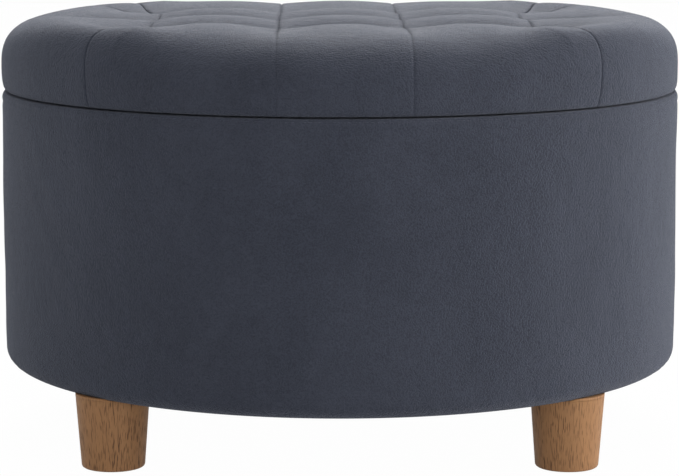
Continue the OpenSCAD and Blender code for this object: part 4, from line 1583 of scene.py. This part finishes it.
NODE_FINISHES: dict[Finish, tuple[str, ...]] = {
    Finish.PLYWOOD: ("bottom_board", "rim_ring", "lid_board"),
    Finish.SOFTWOOD: ("post_", "back_rail"),
    Finish.FIBREBOARD: ("wall_skin",),
    Finish.LEG_WOOD: ("leg_",),
    Finish.ZINC: ("hanger_bolts", "tee_nuts", "hinge_screws", "stay_screws"),
    Finish.RUBBER: ("rim_bumpers",),
    Finish.HINGE: ("hinge_leaf", "hinge_pin"),
    Finish.STAY: ("stay_bracket", "stay_pin", "lid_tab", "lid_pin", "stay_arm"),
    Finish.VELVET: ("side_cover", "lid_cover"),
    Finish.FOAM: ("wall_foam", "lid_foam"),
    Finish.LINING: ("well_", "lid_cloth"),
    Finish.DUST: ("dust_cloth",),
    Finish.FELT: ("glide_",),
}


def dress_frame(palette: Palette) -> None:
    """Gives every CAD node its finish."""
    for name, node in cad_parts.items():
        for finish, starts in NODE_FINISHES.items():
            if name.startswith(starts):
                palette.dress(node, finish)
                break
        else:
            LOG.warning("no finish for %s", name)


# --------------------------------------------------------------------------- stage


@dataclass
class Studio:
    """White floor and backdrop, soft lamps and the camera."""

    lens: float = 136.33
    distance: float = 2.7230
    eye: float = 0.5926
    pitch: float = 0.1445
    shift: tuple[float, float] = (-0.00078, 0.00074)
    soft_light: float = 0.69
    floor_grey: float = 0.7
    floor_half: float = 14.0
    floor_fade: float = 0.985

    def build(self) -> None:
        """Makes the floor, the world, the lamps and the camera."""
        self._floor()
        self._world()
        self._lamp("key", (1.9, -1.5, 2.2), (0, 0, 0.3), 1.3, 8)
        self._lamp("top", (0.1, 2.9, 1.9), (0, 0.1, 0.4), 1.7, 126)
        self._lamp("right", (2.8, -0.1, 0.8), (0, 0, 0.2), 1.0, 44)
        self._lamp("low", (1.2, -2.3, 0.22), (0, 0, 0.05), 0.8, 14)
        self._camera()

    @staticmethod
    def _seen(s: Shader) -> Term:
        """Mask of the rays that show the background.

        Args:
            s: the shader the mask is made in.

        Returns:
            One for camera, glossy and transmission rays and nought for the rest.
        """
        path = s.node("ShaderNodeLightPath", {}, {})
        camera, glossy, through = (Term(s, path.outputs[f"Is {k} Ray"])
                                   for k in ("Camera", "Glossy", "Transmission"))
        return camera.most(glossy).most(through)

    def _floor(self) -> None:
        """White floor that keeps the ottoman's shadow, faded to white for the camera."""
        s = Shader(bpy.data.materials.new("floor_white"))
        lit = s.out("ShaderNodeBsdfDiffuse", {}, {"Color": (*[self.floor_grey] * 3, 1)})
        white = s.out("ShaderNodeEmission", {}, {"Color": (1, 1, 1, 1), "Strength": 1.0})
        both = s.out("ShaderNodeMixShader", {}, {0: self._seen(s) * self.floor_fade, 1: lit, 2: white})
        s.node("ShaderNodeOutputMaterial", {}, {"Surface": both})
        corners = np.array([(-1, -1, 0), (1, -1, 0), (1, 1, 0), (-1, 1, 0)]) * self.floor_half
        floor = make_object("floor", corners, [[0, 1, 2, 3]], smooth=False)
        floor.data.materials.append(s.owner)

    def _world(self) -> None:
        """White to the camera, and a soft even light to everything else."""
        bpy.context.scene.world = bpy.data.worlds.new("studio")
        s = Shader(bpy.context.scene.world)
        light = {"Color": (0.93, 0.96, 1.0, 1), "Strength": self.soft_light}
        soft = s.out("ShaderNodeBackground", {}, light)
        white = s.out("ShaderNodeBackground", {}, {"Color": (1, 1, 1, 1), "Strength": 1.0})
        both = s.out("ShaderNodeMixShader", {}, {0: self._seen(s), 1: soft, 2: white})
        s.node("ShaderNodeOutputWorld", {}, {"Surface": both})

    @staticmethod
    def _lamp(name: str, at: Sequence[float], to: Sequence[float], size: float, power: float) -> None:
        """Adds one square soft lamp.

        Args:
            name: the lamp's name.
            at: where it hangs.
            to: where it points.
            size: its side in metres.
            power: its power in watts.
        """
        light = bpy.data.lights.new(name, "AREA")
        light.size, light.energy = size, power
        lamp = bpy.data.objects.new(name, light)
        lamp.location = at
        lamp.rotation_euler = (Vector(to) - Vector(at)).to_track_quat("-Z", "Y").to_euler()
        bpy.context.scene.collection.objects.link(lamp)

    def _camera(self) -> None:
        """Long lens in front of the ottoman, looking a little down."""
        camera = bpy.data.cameras.new("camera")
        camera.sensor_width, camera.lens = 36.0, self.lens
        camera.shift_x, camera.shift_y = self.shift
        camera.clip_end = 100
        holder = bpy.data.objects.new("camera", camera)
        holder.location = (0, -self.distance, self.eye)
        holder.rotation_euler = (math.pi / 2 - self.pitch, 0, 0)
        bpy.context.scene.collection.objects.link(holder)
        bpy.context.scene.camera = holder


# --------------------------------------------------------------------------- whole


def main() -> None:
    """Builds the studio and every piece."""
    logging.basicConfig(level=logging.INFO, format="%(name)s: %(message)s")
    bpy.context.scene.view_settings.view_transform = "Standard"
    palette = Palette()
    dress_frame(palette)
    Studio().build()
    lining, cloth, dust = WellLining(palette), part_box("lid_cloth"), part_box("dust_cloth")
    inset, lid_gap, base_gap = 0.007, 0.0001, 0.0003
    makers: list[Callable[[], Any]] = [
        LidCover(palette).build,
        DrumCover(palette).build,
        lining.build_wall,
        lining.build_floor,
        ClothDisc(palette, "lid_cloth", "lid", "lid_board", Finish.LINING, 0.0004, folds=0.0002).build,
        ClothDisc(palette, "dust_cloth", "drum", "bottom_board", Finish.DUST, 0.003, seed=33).build,
        Staples(palette, "lid_staples", "lid", cloth[1][0] - inset, cloth[0][2] - lid_gap, 84).build,
        Staples(palette, "base_staples", "drum", dust[1][0] - inset, dust[0][2] - base_gap, 64).build,
        RimStitches(palette).build,
        Glides(palette).build,
        LegHeads(palette).build,
        ScrewSet(palette, "hinge_screws_body", "drum", Driven.DOWN).build,
        ScrewSet(palette, "hinge_screws_lid", "lid", Driven.UP).build,
        ScrewSet(palette, "stay_screws_lid", "lid", Driven.UP).build,
    ]
    for make in makers:
        made = make()
        for piece in made if isinstance(made, list) else [made]:
            LOG.info("%s: %d faces", piece.name, len(piece.data.polygons))


if __name__ == "__main__":
    main()
